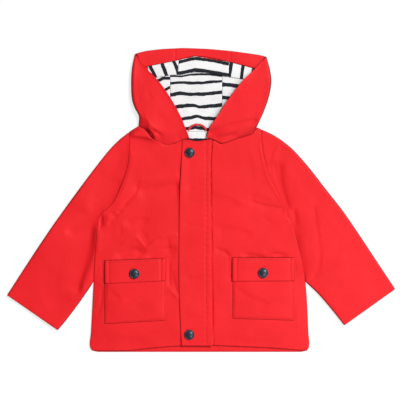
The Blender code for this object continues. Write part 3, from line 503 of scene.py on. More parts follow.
# Creases: how they are laid and shaded.
LIGHT_FROM = (0.7, 0.7)         # direction in plan
CREASE_STEP = 5.0               # between the points that a crease is measured from
BEND_NEAR, BEND_FALL = 0.05, 8  # how sharply the nearest of its spans outweighs the others
FADE = (1.6, 6.0)               # it dies out over this share of its width, and so much more
FADE_MOST = 0.45                # of its length
GENTLE_SIDE = 3.0               # width of its gentle side, in widths of the steep one
SIDE_CONTRAST, SIDE_NEAR = 1.4, 0.01    # how quickly the one side turns into the other
# Height and size of the cloth's own unevenness.
UNEVEN = ((0.7, 42.0), (0.09, 12.0))
# For each kind of cloth its creases, its share of that, and its own place in the noise.
WRINKLES = {
    "front": (FRONT_CREASES, 1.0, 0),
    "storm_flap": (STORM_CREASES, 0.8, 5),
    "pocket": (POCKET_CREASES, 1.0, 9),
    "pocket_flap": (POCKET_FLAP_CREASES, 1.0, 13),
    "sleeve": (SLEEVE_CREASES, 1.3, 21),
    "hood_side": (HOOD_CREASES, 1.2, 31),
    "hood_facing": ((), 1.6, 41),
    "hood_lining": (LINING_CREASES, 1.0, 51),
    "neck_lining": ((), 0.5, 61),
}


# ---------------------------------------------------------------- lines and surfaces
def ease(value):
    """0 to 1, without a corner at either end."""
    value = np.clip(value, 0.0, 1.0)
    return value * value * (3 - 2 * value)


def bell(distance, width):
    """1 on a line, and 0 well away from it."""
    return np.exp(-((distance / width) ** 2))


def swell(v, start, full, end, full_by, falls_from):
    """A height that rises from its start until it is full, and falls again to its end."""
    fall = ease((v - falls_from) / (1 - falls_from))
    return start + (full - start) * ease(v / full_by) + (end - full) * fall


def measured(points):
    """The steps from point to point, their lengths, and how far along each point is."""
    steps = np.diff(points, axis=0)
    spans = np.linalg.norm(steps, axis=1)
    return steps, spans, np.concatenate(([0.0], np.cumsum(spans)))


def rail(points, cornered=False):
    """A line through points, smooth or cornered, read by fractions of its length."""
    points = np.array(points, dtype=float)
    steps, spans, reach = measured(points)
    chords = steps / spans[:, None]
    slopes = np.vstack((chords[:1], (chords[:-1] + chords[1:]) / 2, chords[-1:]))

    def at(fraction):
        distance = np.asarray(fraction, dtype=float) * reach[-1]
        i = np.clip(np.searchsorted(reach, distance) - 1, 0, len(chords) - 1)
        span = spans[i][..., None]
        t = ((distance - reach[i])[..., None]) / span
        if cornered:
            return points[i] * (1 - t) + points[i + 1] * t
        start = points[i] * (2 * t**3 - 3 * t**2 + 1) + slopes[i] * (span * (t**3 - 2 * t**2 + t))
        end = points[i + 1] * (3 * t**2 - 2 * t**3) + slopes[i + 1] * (span * (t**3 - t**2))
        return start + end

    at.length = reach[-1]
    at.reach = reach
    return at


def moved(line, distance, step=0.01):
    """A line moved sideways, to the left as it is followed."""
    def at(fraction):
        fraction = np.asarray(fraction, dtype=float)
        way = line(np.minimum(fraction + step, 1.0)) - line(np.maximum(fraction - step, 0.0))
        square = np.stack((-way[..., 1], way[..., 0]), axis=-1)
        return line(fraction) + distance * square / np.linalg.norm(square, axis=-1, keepdims=True)

    return at


def patch(start, end, first, last):
    """A plan between four lines: start and end run across it, first and last along it."""
    def at(u, v):
        a, b = u[..., None], v[..., None]
        across = start(u) * (1 - b) + end(u) * b
        along = first(v) * (1 - a) + last(v) * a
        near = start(0.0) * (1 - a) + start(1.0) * a
        far = end(0.0) * (1 - a) + end(1.0) * a
        return across + along - (near * (1 - b) + far * b)

    return at


def strip(first, last):
    """A plan between two lines, straight across at both ends."""
    return patch(rail([first(0.0), last(0.0)]), rail([first(1.0), last(1.0)]), first, last)


def four_sided(row):
    left, right, low_left, low_right, high_left, high_right = row
    first = rail([(left, low_left), (left, high_left)])
    return strip(first, rail([(right, low_right), (right, high_right)]))


def edge_distance(row, x, up):
    """Distances from the left, right, low and high edge of a four-sided piece."""
    left, right, low_left, low_right, high_left, high_right = row
    share = (x - left) / (right - left)
    low = low_left + (low_right - low_left) * share
    high = high_left + (high_right - high_left) * share
    return x - left, right - x, up - low, high - up


def read(table, key, column=1):
    """Values between the rows of a table whose first column rises or falls steadily."""
    rows = sorted(table)
    return np.interp(key, [row[0] for row in rows], [row[column] for row in rows])


def turned(points, side):
    """Plan points on a side, from distances out."""
    return [(SIGN[side] * out, up) for out, up in points]


def spread(length, pitch=PITCH):
    """Fractions of a length, even but for one more near each end, where an edge rounds."""
    count = max(int(round(length / pitch)), 3)
    near = ROUNDED / length
    return np.concatenate(([0.0], np.linspace(near, 1 - near, count), [1.0]))


def from_photo(points):
    """Places in the photograph, as plan points."""
    x, down = np.array(points, dtype=float).T
    middle_x, middle_down = PHOTO_MIDDLE
    return np.stack(((x - middle_x) * MM_PER_PIXEL, (middle_down - down) * MM_PER_PIXEL), axis=1)


# ---------------------------------------------------------------- creases and seams
def from_chain(x, up, points):
    """Distance from a chain of points, how far along it the nearest place is, and how much
    further towards the light than that place.

    Near a bend the places on both spans count, so that nothing jumps across it.
    """
    steps, spans, reach = measured(points)
    nearest = np.full(np.shape(x), np.inf)
    along, lightward, total = np.zeros((3, *np.shape(x)))
    for start, way, span, before in zip(points, steps, spans, reach):
        share = ((x - start[0]) * way[0] + (up - start[1]) * way[1]) / span**2
        share = np.clip(share, 0.0, 1.0)
        step_x = x - start[0] - way[0] * share
        step_up = up - start[1] - way[1] * share
        away = np.hypot(step_x, step_up)
        weight = 1 / (away + BEND_NEAR) ** BEND_FALL
        nearest = np.minimum(nearest, away)
        along += weight * (before + share * span) / reach[-1]
        lightward += weight * (step_x * LIGHT_FROM[0] + step_up * LIGHT_FROM[1])
        total += weight
    return nearest, along / total, lightward / total


def creases(table, x, up):
    """The height that a table of creases adds, each dying out towards both of its ends.

    The side of a crease that turns from the light is mostly the steeper one, as it looks in
    cloth that lies flat: its other side runs out gently.
    """
    height = np.zeros(np.shape(x))
    for points, rise, steep, *gentle in table:
        gentle = gentle[0] if gentle else GENTLE_SIDE * steep
        curve = rail(from_photo(points))
        places = curve(np.linspace(0, 1, 2 + int(curve.length / CREASE_STEP)))
        away, along, lightward = from_chain(x, up, places)
        fade = min(FADE[0] * steep + FADE[1], FADE_MOST * curve.length)
        strength = ease(np.minimum(along, 1 - along) * curve.length / fade)
        shaded = -np.sign(rise) * SIDE_CONTRAST * lightward / (away + SIDE_NEAR)
        gentle = steep + (gentle - steep) * strength
        width = (steep + gentle) / 2 + (steep - gentle) / 2 * np.clip(shaded, -1, 1)
        height += rise * strength / (1 + (away / width) ** 2) ** 2
    return height


def wrinkles(kind, x, up, sign=0):
    """Creases, and the gentle unevenness of cloth that isn't pressed."""
    table, share, seed = WRINKLES[kind]
    height = np.zeros(np.size(x))
    for rise, size in UNEVEN:
        height += rise * np.array([
            noise.noise(Vector((a / size, b / size, seed + sign + size)))
            for a, b in zip(np.ravel(x), np.ravel(up))
        ])
    return creases(table, x, up) + height.reshape(np.shape(x)) * share


def furrow(outside, sizes):
    """A furrow just outside the edge of what is sewn on: its depth and how far out it lies."""
    depth, place = sizes
    return -depth * bell(outside - place, place)


def sunk(away, sizes):
    """A seam's own furrow at a distance from its line."""
    depth, width = sizes
    return -depth * bell(away, width) ** 2


def ridge(inside, sizes):
    height, place, width = sizes
    return height * bell(inside - place, width)


# ---------------------------------------------------------------- heights of the layers
def side_share(x, up):
    """How far out a place lies between the centre line and the side of the body."""
    side = np.where(x < 0, read(SIDES["right"], up), read(SIDES["left"], up))
    return np.minimum(np.abs(x) / side, 1.0)


def held_flat(x, up):
    """0 under the storm flap and the pockets, which hold the cloth flat, and 1 elsewhere."""
    near, over = HELD_FLAT
    outside = [np.maximum(read(STORM_FLAP, up) - x, x - read(STORM_FLAP, up, 2))]
    for left, right, *ends in POCKETS.values():
        beyond = np.maximum(min(ends) - up, up - max(ends))
        outside.append(np.maximum(np.maximum(left - x, x - right), beyond))
    return np.prod([ease((distance - near) / over) for distance in outside], axis=0)


def shoulder_distance(x, up):
    right, left = (from_chain(x, up, np.array(turned(NECK[side][-2:], side)))[0] for side in SIGN)
    return np.where(x < 0, right, left)


def front_top(x, up, soft=0.0):
    """Upper face of the fronts, which come down at the lower sides and at the shoulders."""
    below_sleeve = ease((SIDES_CLOSE_FROM - up) / SIDES_CLOSE_OVER)
    at_side = 1 - below_sleeve * side_share(x, up) ** SIDE_ROLL
    at_shoulder = 1 - (1 - np.minimum(shoulder_distance(x, up) / SHOULDER_ROLL, 1.0)) ** 3
    return 2 * CLOTH + SEAM + np.maximum((LOFT + soft) * at_side * at_shoulder, 0.0)


def pocket_top(side, x, up):
    """Upper face of a pocket, which is fullest away from its sewn edges."""
    left, right, low, high = edge_distance(POCKETS[side], x, up)
    across = np.clip(left / (left + right), 0.0, 1.0)
    along = np.clip(low / (low + high) / POCKET_FILLS_BY, 0.0, 1.0)
    fullness = 1 - np.abs(2 * across - 1) ** POCKET_SQUARENESS
    return front_top(x, up) + PATCH_GAP + PATCH + POCKET_FULLNESS * fullness * np.sqrt(along)


def pressed(x, up, height):
    """Soft height, held down round each snap."""
    near, over = SNAP_HOLD
    for name in SNAPS:
        low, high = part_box(name)
        away = np.hypot(x - (low.x + high.x) / 2 / MM, up - (low.y + high.y) / 2 / MM)
        dimple = SNAP_DIMPLE * (1 - ease(away / (near + over)))
        height = height * ease((away - near) / over) - dimple
    return height


# ---------------------------------------------------------------- making cloth
def facings(points):
    """The direction square to a grid of points, at each of them."""
    square = np.cross(np.gradient(points, axis=1), np.gradient(points, axis=0))
    return square / np.maximum(np.linalg.norm(square, axis=2, keepdims=True), TINY)


def closed_faces(rows, columns):
    """Faces of a closed wall between two grids, the second numbered after the first."""
    count = rows * columns
    index = np.arange(count).reshape(rows, columns)
    corners = index[:-1, :-1], index[:-1, 1:], index[1:, 1:], index[1:, :-1]
    outer = np.stack(corners, axis=2).reshape(-1, 4)
    faces = [outer, outer[:, ::-1] + count]
    for line in (index[0, ::-1], index[-1], index[:, 0], index[::-1, -1]):
        start, end = line[:-1], line[1:]
        faces.append(np.stack((end, start, start + count, end + count), axis=1))
    return np.concatenate(faces)


def make_mesh(name, points, faces, look, stripes=None):
    """An object from points in millimetres, with a map that counts its stripes."""
    mesh = bpy.data.meshes.new(name)
    mesh.from_pydata((points * MM).tolist(), [], faces.tolist())
    if stripes is not None:
        corners = np.empty(len(mesh.loops), dtype=int)
        mesh.loops.foreach_get("vertex_index", corners)
        index = stripes[corners].astype(np.float32)
        layer = mesh.uv_layers.new(name="stripes")
        layer.data.foreach_set("uv", np.stack((index, index * 0), axis=1).ravel())
    mesh.materials.append(look)
    mesh.shade_smooth()
    made = bpy.data.objects.new(name, mesh)
    bpy.context.collection.objects.link(made)
    return made


def join_jacket(made, node=None):
    """Makes a mesh a piece of the jacket, in place of a solid where it names one."""
    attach(made, "root")
    if node:
        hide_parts(node)


def cloth(node, middle, thick, look,
          edge_left=EDGE_LEFT, stripes=None):
    """A thin closed shell with a grid of points along its middle, in place of a solid."""
    rows, columns = middle.shape[:2]
    square = facings(middle)
    if square[:, columns // 2:, 2].mean() < 0:
        square = -square
    half = np.full((rows, columns, 1), thick / 2)
    for border in (half[0], half[-1], half[:, 0], half[:, -1]):
        border *= edge_left
    points = np.concatenate((middle + square * half, middle - square * half)).reshape(-1, 3)
    if stripes is not None:
        stripes = np.tile(np.ravel(stripes), 2)
    made = make_mesh(f"{node}_cloth", points, closed_faces(rows, columns), look, stripes)
    shape = bmesh.new()
    shape.from_mesh(made.data)
    bmesh.ops.recalc_face_normals(shape, faces=shape.faces)
    shape.to_mesh(made.data)
    shape.free()
    join_jacket(made, node)


def raised(places, heights):
    return np.concatenate((places, heights[..., None]), axis=-1)


def panel_grid(kind):
    """Fractions across and along a kind of panel."""
    width, length, pitch_across, pitch_along = PANELS[kind]
    return np.meshgrid(spread(width, pitch_across), spread(length, pitch_along))


def panel(kind, node, plan, top, thick, look, *rests_on):
    """Cloth over a plan, where top gives the height of its upper face, or is that height."""
    places = plan(*panel_grid(kind))
    x, up = places[..., 0], places[..., 1]
    heights = top(x, up) if callable(top) else top + 0 * x
    cloth(node, raised(places, heights - thick / 2), thick, look)


# ---------------------------------------------------------------- body
def body_side(side):
    return rail(turned([(out, up) for up, out in SIDES[side]], side))


def line_between(table, start, end, points):
    """A line over a table of x and up, between two values of x."""
    return rail([(x, read(table, x)) for x in np.linspace(start, end, points)])


def make_back(look):
    right, left = body_side("right"), body_side("left")
    ends = [(x, BACK_HEM) for x in BACK_HEM_ENDS]
    hem = rail([right(0.0), *ends, left(0.0)], cornered=True)
    neck = rail(BACK_NECKLINE, cornered=True)
    panel("back", "back_panel", patch(hem, neck, right, left), CLOTH, CLOTH, look, "floor")


def make_front(side, look):
    """One half of the front: in under the hood at the neck, and sunk round what is sewn on."""
    centre = CENTRE_FRONT + SIGN[side] * SEAM / 2
    neck = turned(NECK[side], side)
    shoulder = np.array(neck[-2:])
    under_hood = np.array(neck[1:-2]) + (0, NECK_TUCK)
    high = rail([(centre, neck[0][1]), *under_hood, *shoulder])
    low = line_between(FRONT_HEM, centre, SIGN[side] * SIDES[side][0][1], LINE_POINTS["hem"])
    middle = rail([low(0.0), (centre, 0.0), high(0.0)])

    def top(x, up):
        soft = wrinkles("front", x, up) * held_flat(x, up)
        soft += sunk(from_chain(x, up, under_hood)[0], NECK_SINK)
        soft += furrow(x - read(STORM_FLAP, up, 2), STORM_GROOVE)
        for row in (POCKETS[side], POCKET_FLAPS[side]):
            soft += furrow(-np.min(edge_distance(row, x, up), axis=0), POCKET_GROOVE)
        soft -= HEM_PRESSED[0] * bell(up - read(FRONT_HEM, x), HEM_PRESSED[1])
        stitched = sunk(from_chain(x, up, shoulder)[0] - SHOULDER_STITCH, STITCH_SINK)
        return front_top(x, up, soft) + stitched + creases(NECK_CREASES, x, up)

    plan = patch(low, high, middle, body_side(side))
    panel("front", f"{side}_front", plan, top, CLOTH, look, "back_panel_cloth")


def storm_top(x, up):
    """Upper face of the storm flap: lifted at its free edge, puckered along its seam."""
    share = LIFT_LEAST + (1 - LIFT_LEAST) * bell(up - LIFT_MOST_AT, LIFT_LENGTH)
    lift = FREE_EDGE_LIFT * (1 - ease((x - read(STORM_FLAP, up)) / LIFT_OVER)) * share
    seam = x - STORM_STITCH_X
    height, length, reach = PUCKER
    wander, slowly = PUCKER_DRIFT
    pucker = height * np.sin(2 * np.pi * up / length + wander * np.sin(up / slowly))
    soft = wrinkles("storm_flap", x, up) + pucker * bell(seam, reach) + lift
    return front_top(x, up) + PATCH_GAP + PATCH + pressed(x, up, soft) + sunk(seam, STITCH_SINK)


def make_storm_flap(look):
    free, sewn = (
        rail([(row[column], row[0]) for row in reversed(STORM_FLAP)]) for column in (1, 2)
    )
    panel(
        "storm_flap", "storm_flap", strip(free, sewn), storm_top, PATCH, look,
        "right_front_cloth", "left_front_cloth",
    )


def pocket_face(side, x, up):
    """Upper face of a pocket, with its stitched edges and creases."""
    left, right, low, _ = edge_distance(POCKETS[side], x, up)
    inside = np.minimum(np.minimum(left, right), low) - POCKET_STITCH
    soft = wrinkles("pocket", x, up) * ease(inside / STITCH_HOLDS) + sunk(inside, STITCH_SINK)
    return pocket_top(side, x, up) + soft


def pocket_flap_face(side, x, up):
    """Upper face of a pocket flap: a ridge at its top seam, stitched, over the pocket below."""
    left, right, low, high = edge_distance(POCKET_FLAPS[side], x, up)
    edge = np.minimum(left, right)
    seated = front_top(x, up) + PATCH_GAP
    lying = pocket_top(side, x, up) + PATCH_GAP
    base = seated + (lying - seated) * ease(high / FLAP_STEP) + PATCH
    hang, over = FLAP_HANGS
    soft = wrinkles("pocket_flap", x, up) + hang * (1 - ease(low / over))
    soft = soft + ridge(high, FLAP_TOP_RIDGE)
    soft = soft * ease((edge + FLAP_SIDE_FREE[0]) / FLAP_SIDE_FREE[1])
    face = base + pressed(x, up, soft + ridge(edge, FLAP_SIDE_RIDGE))
    for inside in (high - FLAP_STITCH_TOP, edge - FLAP_STITCH_SIDE):
        face = face + sunk(inside, FLAP_STITCH_SINK)
    return face


def make_patches(kind, rows, face, lies_on, look):
    """The pockets, or their flaps, by their rows of edges and their upper faces."""
    for side, row in rows.items():
        panel(
            kind, f"{kind}_{side}", four_sided(row),
            lambda x, up: face(side, x, up), PATCH, look, lies_on.format(side),
        )


# ---------------------------------------------------------------- folded tubes
def across_fold(width, roll, inside):
    """Places across a layer out of a fold: shares of its width, its lift and its drop."""
    width = width[:, None]
    roll = np.minimum(roll[:, None], ROLL_MOST * width)
    angles = np.linspace(0, np.pi / 2, ROLL_STEPS + 1)
    near = roll * (1 - np.cos(angles)) / width
    far = 1 - near[:, ::-1]
    inner = np.linspace(0, 1, inside + 2)[1:-1]
    flat = near[:, -1:] + (far[:, :1] - near[:, -1:]) * inner
    lift = np.concatenate((np.sin(angles), np.ones(inside + len(angles))))
    drop = np.concatenate((np.zeros(len(angles) + inside), 1 - np.sin(angles[::-1])))
    return np.concatenate((near, flat, far), axis=1), lift, drop


def folded(rows, top, base, height, closed, roll, thick, soft):
    """Middle of a wall that runs in under itself, round a fold and back on top."""
    level = height[:, None] / 2
    layers = []
    for plan, inside, sign in ((top, TOP_INSIDE, 1), (base, BASE_INSIDE, -1)):
        ends = plan(np.zeros_like(rows), rows) - plan(np.ones_like(rows), rows)
        share, lift, drop = across_fold(np.linalg.norm(ends, axis=1), roll, inside)
        v = np.broadcast_to(rows[:, None], share.shape)
        places = plan(share, v)
        rise = (level - thick / 2) * lift
        if sign > 0:
            on_base = 2 * thick + SEAM
            rise = rise + (on_base - height[:, None]) * drop * closed[:, None]
            rise = rise + soft(places[..., 0], places[..., 1], share, v) * lift
        layers.append(raised(places, level + sign * rise))
    return np.concatenate((layers[1][:, :0:-1], layers[0]), axis=1)


def sleeve_lines(side):
    """Inner and outer boundary of a sleeve, and where it leaves the body on the inner one."""
    sign = SIGN[side]
    body = body_side(side)
    levels = [up for up, out in SIDES[side]]
    along_body = body.length - body.reach[levels.index(UNDERARM)]
    beside = moved(body, -sign * CLOSE_BUTT)
    free = rail([beside(1 - along_body / body.length), *turned(SLEEVE_INNER[side], side)])
    total = along_body + free.length

    def inner(v, tuck=0.0):
        distance = np.asarray(v, dtype=float) * total
        place = np.clip(1 - distance / body.length, 0.0, 1.0)
        on_body = beside(place)
        if tuck:
            tucked = ease((on_body[..., 1] - SLEEVE_TUCK_ENDS[1]) / np.ptp(SLEEVE_TUCK_ENDS))
            tucked = tucked * ease(distance / (SLEEVE_TUCK_STARTS * tuck))
            inside = moved(body, sign * tuck)(place)
            on_body = on_body + (inside - on_body) * tucked[..., None]
        beyond = free(np.clip((distance - along_body) / free.length, 0.0, 1.0))
        return np.where((distance <= along_body)[..., None], on_body, beyond)

    outer = rail([inner(0.0), *turned(SLEEVE_OUTER[side], side)])
    return inner, outer, along_body / total


def make_sleeve(side, look):
    """A flattened tube, sewn into the armhole and rolled at its sides, with an open cuff."""
    inner, outer, body_end = sleeve_lines(side)
    outer_middle = moved(outer, -SIGN[side] * CLOTH / 2)
    rows = SLEEVE_START + (1 - SLEEVE_START) * spread(SLEEVE_LENGTH)
    height = swell(rows, *SLEEVE_SWELL)

    def plan(tuck):
        def at(share, v):
            share = share[..., None]
            return outer_middle(v) * (1 - share) + inner(v, tuck) * share
        return at

    def closed(v):
        return ease((v - body_end) / SLEEVE_CLOSES + 0.5)

    def soft(x, up, share, v):
        away = (1 - share) * np.linalg.norm(outer(v) - inner(v), axis=-1)
        plain = closed(v) * ease(1 - (1 - share) / SLEEVE_SEWN)
        rise = wrinkles("sleeve", x, up, SIGN[side]) * (1 - plain)
        rise = rise + sunk(away, SLEEVE_SEAM[side]) * (1 - closed(v))
        hollow = np.interp(v, rows, height) - 2 * CLOTH - SEAM
        return np.where(rise < 0, -hollow * np.tanh(-rise / hollow), rise)

    roll = np.full(len(rows), SLEEVE_ROLL)
    middle = folded(
        rows, plan(SLEEVE_TUCK[side]), plan(0.0), height, closed(rows), roll, CLOTH, soft
    )
    cloth(f"sleeve_{side}", middle, CLOTH, look)


# ---------------------------------------------------------------- hood
def centre_seam(side, allowance, high_end):
    """The seam of the hood's outside between its centre and a side, up to the brim."""
    column = 1 if side == "right" else 2
    seam = rail([(SIGN[side] * (row[column] + allowance), row[0]) for row in CENTRE_SEAMS])
    return rail([seam(0.0), seam(0.5), high_end])


def brim_between(start, end, points=LINE_POINTS["brim"]):
    return line_between(BRIM, start, end, points)


def make_hood_centre(look):
    inset = BUTT / 2
    _, right_end, left_end = CENTRE_SEAMS[-1]
    high = brim_between(inset - right_end, left_end - inset)
    right = centre_seam("right", -inset, high(0.0))
    left = centre_seam("left", -inset, high(1.0))
    plan = patch(rail([right(0.0), left(0.0)]), high, right, left)
    panel("hood_centre", "hood_centre", plan, HOOD_WALL, HOOD_WALL, look, "floor")


def make_hood_side(side, look):
    """The side panel: under the lining from the centre seam to the fold, then back on top."""
    sign = SIGN[side]
    fold, front, neck = (
        rail(turned(line[side], side)) for line in (HOOD_FOLD, HOOD_FRONT, HOOD_NECK)
    )
    seam_end = CENTRE_SEAMS[-1][1 if side == "right" else 2] + BUTT / 2
    brim = brim_between(fold(1.0)[0], sign * seam_end)
    seam = centre_seam(side, BUTT / 2, brim(1.0))
    fold_middle = moved(fold, sign * HOOD_WALL / 2)
    over = patch(neck, rail([fold(1.0), front(1.0)]), fold_middle, front)
    under = patch(rail([fold(0.0), seam(0.0)]), brim, fold_middle, seam)
    neck_points = neck(np.linspace(0, 1, LINE_POINTS["neck seam"]))
    rows = spread(fold.length, HOOD_PITCH)
    height = swell(rows, *HOOD_SWELL)

    def soft(x, up, share, v):
        rise = wrinkles("hood_side", x, up, sign) * ease(share / HOOD_FOLD_PLAIN)
        away = (1 - share) * np.linalg.norm(fold(v) - front(v), axis=-1)
        edge = HOOD_EDGE[0] * bell(away, HOOD_EDGE[1])
        return rise + edge + sunk(from_chain(x, up, neck_points)[0], HOOD_SEAM)

    roll = np.minimum(HOOD_ROLL, HOOD_ROLL_SHAPE * (height / 2 - HOOD_WALL / 2))
    middle = folded(rows, over, under, height, 0 * rows, roll, HOOD_WALL, soft)
    cloth(f"hood_side_{side}", middle, HOOD_WALL, look)


def make_hood_facing(look):
    """The brim's facing, a strip of the outer cloth inside the far edge of the hood."""
    outer = brim_between(-FACING_END["right"], FACING_END["left"], LINE_POINTS["facing"])
    inner = rail(FACING_EDGE)
    first, last = rail([inner(0.0), outer(0.0)]), rail([inner(1.0), outer(1.0)])
    u, v = panel_grid("hood_facing")
    places = patch(inner, outer, first, last)(u, v)
    x, up = places[..., 0], places[..., 1]
    height = HOOD_WALL + SEAM + CLOTH / 2
    height = height + wrinkles("hood_facing", x, up) * ease(v / FACING_PLAIN)
    for seam in FACING_SEAMS:
        height = height + sunk(x - seam, FACING_SINK)
    cloth("hood_facing", raised(places, height), CLOTH, look)


# ---------------------------------------------------------------- striped lining
def stripe_index(lines, x, up, upright=0):
    """Which stripe a place lies on, counted from the first of them, fractions between.

    upright is 0 for stripes met going up, or the direction in x in which upright ones are met.
    """
    along, across = (upright * x, up) if upright else (up, x)
    met = []
    for line in lines:
        points = from_photo(line)
        if upright:
            points = np.stack((points[:, 1], upright * points[:, 0]), axis=1)
        points = points[np.argsort(points[:, 0])]
        met.append(np.interp(across, points[:, 0], points[:, 1]))
    index = np.zeros(np.shape(x))
    last = len(met) - 2
    for i, (low, high) in enumerate(zip(met, met[1:])):
        share = (along - low) / (high - low)
        index += np.clip(share, -1.0 if i == 0 else 0.0, 2.0 if i == last else 1.0)
    return index


def crown_edge(x):
    return np.interp(x, *from_photo(CROWN_EDGE).T)


def lining_seam(side, moved_out):
    """Where a seam of the lining lies in x, by the share of the way up the crown."""
    places = [SIGN[side] * (out + moved_out) for out in LINING_SEAMS[side]]
    return lambda level, crown: np.interp(crown, (-1.0, 0.0, 1.0), places)


def lining_side(side):
    """The outer edge of the lining's side piece, hidden under the folded side of the hood."""
    def at(level, crown):
        out = read(LINING_SIDES, level)
        return SIGN[side] * (out + (LINING_SIDES[-1][1] - out) * max(crown + 1, 0.0))

    return at


def make_lining(part, low, start, end, columns, look, back_lines, crown_lines, upright=0):
    """A piece of lining, which goes up behind the crown's fold, turns down, and up again.

    start and end give x at its two edges, for a level up and a share of the way up the crown.
    """
    below = HOOD_WALL + SEAM + JERSEY / 2
    between, above = below + LINING_STEP, below + 2 * LINING_STEP
    half = LINING_STEP / 2
    at_facing = HOOD_WALL + SEAM + CLOTH / 2
    fold = JERSEY / 2 + half
    back_end = CROWN_LEVEL + CROWN_UNDER
    turn = np.linspace(-np.pi / 2, np.pi / 2, ROLL_STEPS)[1:-1]
    u = np.linspace(0, 1, columns)
    rows = []

    def add(level, crown, up_of, z_of):
        x = start(level, crown) + (end(level, crown) - start(level, crown)) * u
        edge = crown_edge(x)
        up = up_of(x, edge)
        rows.append(np.broadcast_arrays(x, up, z_of(up - edge), crown))

    for share in np.linspace(0, 1, int((back_end - low) / PITCH)):
        add(
            low + (back_end - low) * share, -1.0,
            lambda x, edge: low + (edge + CROWN_UNDER - low) * share, lambda beyond: below,
        )
    for angle in turn:
        add(
            back_end, -1.0, lambda x, edge: edge + CROWN_UNDER + half * np.cos(angle),
            lambda beyond: below + half + half * np.sin(angle),
        )
    for share in np.linspace(0, 1, LINING_ROWS["fold"]):
        add(
            back_end, share - 1.0,
            lambda x, edge: edge + CROWN_UNDER + (fold - CROWN_UNDER) * share,
            lambda beyond: between,
        )
    for angle in turn:
        add(
            back_end, 0.0, lambda x, edge: edge + fold - half * np.cos(angle),
            lambda beyond: between + half + half * np.sin(angle),
        )
    for share in np.linspace(0, 1, LINING_ROWS["crown"]):
        add(
            back_end, share,
            lambda x, edge: edge + fold + (read(FACING_EDGE, x) - BUTT - edge - fold) * share,
            lambda beyond: above + (at_facing - above) * ease((beyond - CROWN_FLAT) / CROWN_FALL),
        )

    x, up, z, crown = np.array(rows).transpose(1, 0, 2)
    beyond = up - crown_edge(x)
    shown = (crown >= 0) | ((crown == -1.0) & (beyond < 0))
    held, over = LINING_HELD
    soft = wrinkles("hood_lining", x, up) * shown * ease((np.abs(beyond) - held) / over)
    on_crown = stripe_index(crown_lines, x, up, upright)
    stripes = np.where(crown < 0, stripe_index(back_lines, x, up), on_crown)
    cloth(
        f"hood_lining_{part}", np.stack((x, up, z + LINING_SOFTNESS * soft), axis=2), JERSEY, look,
        JERSEY_EDGE_LEFT, stripes,
    )


def make_hood_lining(look):
    gap = CLOSE_BUTT / 2
    make_lining(
        "centre", BACK_NECK + BUTT, lining_seam("right", -gap), lining_seam("left", -gap),
        LINING_COLUMNS["centre"], look, STRIPES_BACK, STRIPES_CROWN,
    )
    for side, back_lines, crown_lines in (
        ("right", STRIPES_BACK_RIGHT, STRIPES_CROWN_RIGHT),
        ("left", STRIPES_BACK_LEFT, STRIPES_CROWN_LEFT),
    ):
        make_lining(
            side, LINING_SIDES_FROM, lining_seam(side, gap), lining_side(side),
            LINING_COLUMNS["side"], look, back_lines, crown_lines, SIGN[side],
        )


def make_neck_lining(look):
    """The strip of the body's lining that shows in the neck opening."""
    places = four_sided(NECK_LINING)(*panel_grid("neck_lining"))
    x, up = places[..., 0], places[..., 1]
    height = CLOTH + SEAM + JERSEY / 2 + wrinkles("neck_lining", x, up)
    cloth(
        "neck_lining", raised(places, height), JERSEY, look,
        stripes=stripe_index(STRIPES_BACK, x, up),
    )


# ---------------------------------------------------------------- snaps, loop and stitches
def make_ringed(name, rings, look):
    """A mesh from rings of points, each joined to the next."""
    rings = np.array(rings)
    index = np.arange(rings.shape[0] * rings.shape[1]).reshape(rings.shape[:2])
    ahead = np.roll(index, -1, axis=1)
    faces = np.stack((index[:-1], ahead[:-1], ahead[1:], index[1:]), axis=2).reshape(-1, 4)
    return make_mesh(name, rings.reshape(-1, 3), faces, look)


def make_snap(node, look):
    """A domed cap in a rolled rim, turned about its own axis."""
    low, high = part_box(node)
    middle = (low + high) / 2 / MM
    radius = (high.x - low.x) / 2 / MM
    height = (high.z - low.z) / MM
    angles = np.linspace(0, 2 * np.pi, SNAP_SIDES, endpoint=False)
    rings = []
    for share, level in rail(SNAP_PROFILE)(np.linspace(0, 1, SNAP_RINGS)):
        rings.append(np.stack((
            middle.x + np.cos(angles) * share * radius,
            middle.y + np.sin(angles) * share * radius,
            np.full(SNAP_SIDES, low.z / MM - SNAP_DIMPLE + level * height),
        ), axis=1))
    join_jacket(make_ringed(f"{node}_cap", rings, look), node)


def rounded_box(turns, width, thick):
    """A section between a box and an ellipse."""
    sides = []
    for wave, size in ((np.cos(turns), width), (np.sin(turns), thick)):
        sides.append(np.sign(wave) * np.abs(wave) ** LOOP_SQUARENESS * size / 2)
    return np.stack(sides, axis=1)


def make_hanger_loop(look):
    """A flat tape in an arch, both of its ends at the neck seam."""
    foot, head = LOOP_UP
    rise = head - foot
    middle, reach = sum(LOOP_FEET) / 2, (LOOP_FEET[1] - LOOP_FEET[0]) / 2
    base = HOOD_WALL + SEAM + JERSEY + SEAM + LOOP_THICK / 2
    turns = np.linspace(0, 2 * np.pi, LOOP_SIDES, endpoint=False)
    section = rounded_box(turns, LOOP_WIDTH, LOOP_THICK)
    rings = []
    for t in np.linspace(0, 1, LOOP_RINGS):
        angle = math.pi * (1 - t)
        along, across = math.cos(angle), math.sin(angle)
        centre = np.array((middle + reach * along, foot + rise * across, base))
        outward = np.array((along / reach, across / rise, 0.0))
        outward /= np.linalg.norm(outward)
        rings.append(centre + section[:, :1] * outward + section[:, 1:] * np.array((0, 0, 1)))
    join_jacket(make_ringed("hanger_loop_tape", rings, look), "hanger_loop")


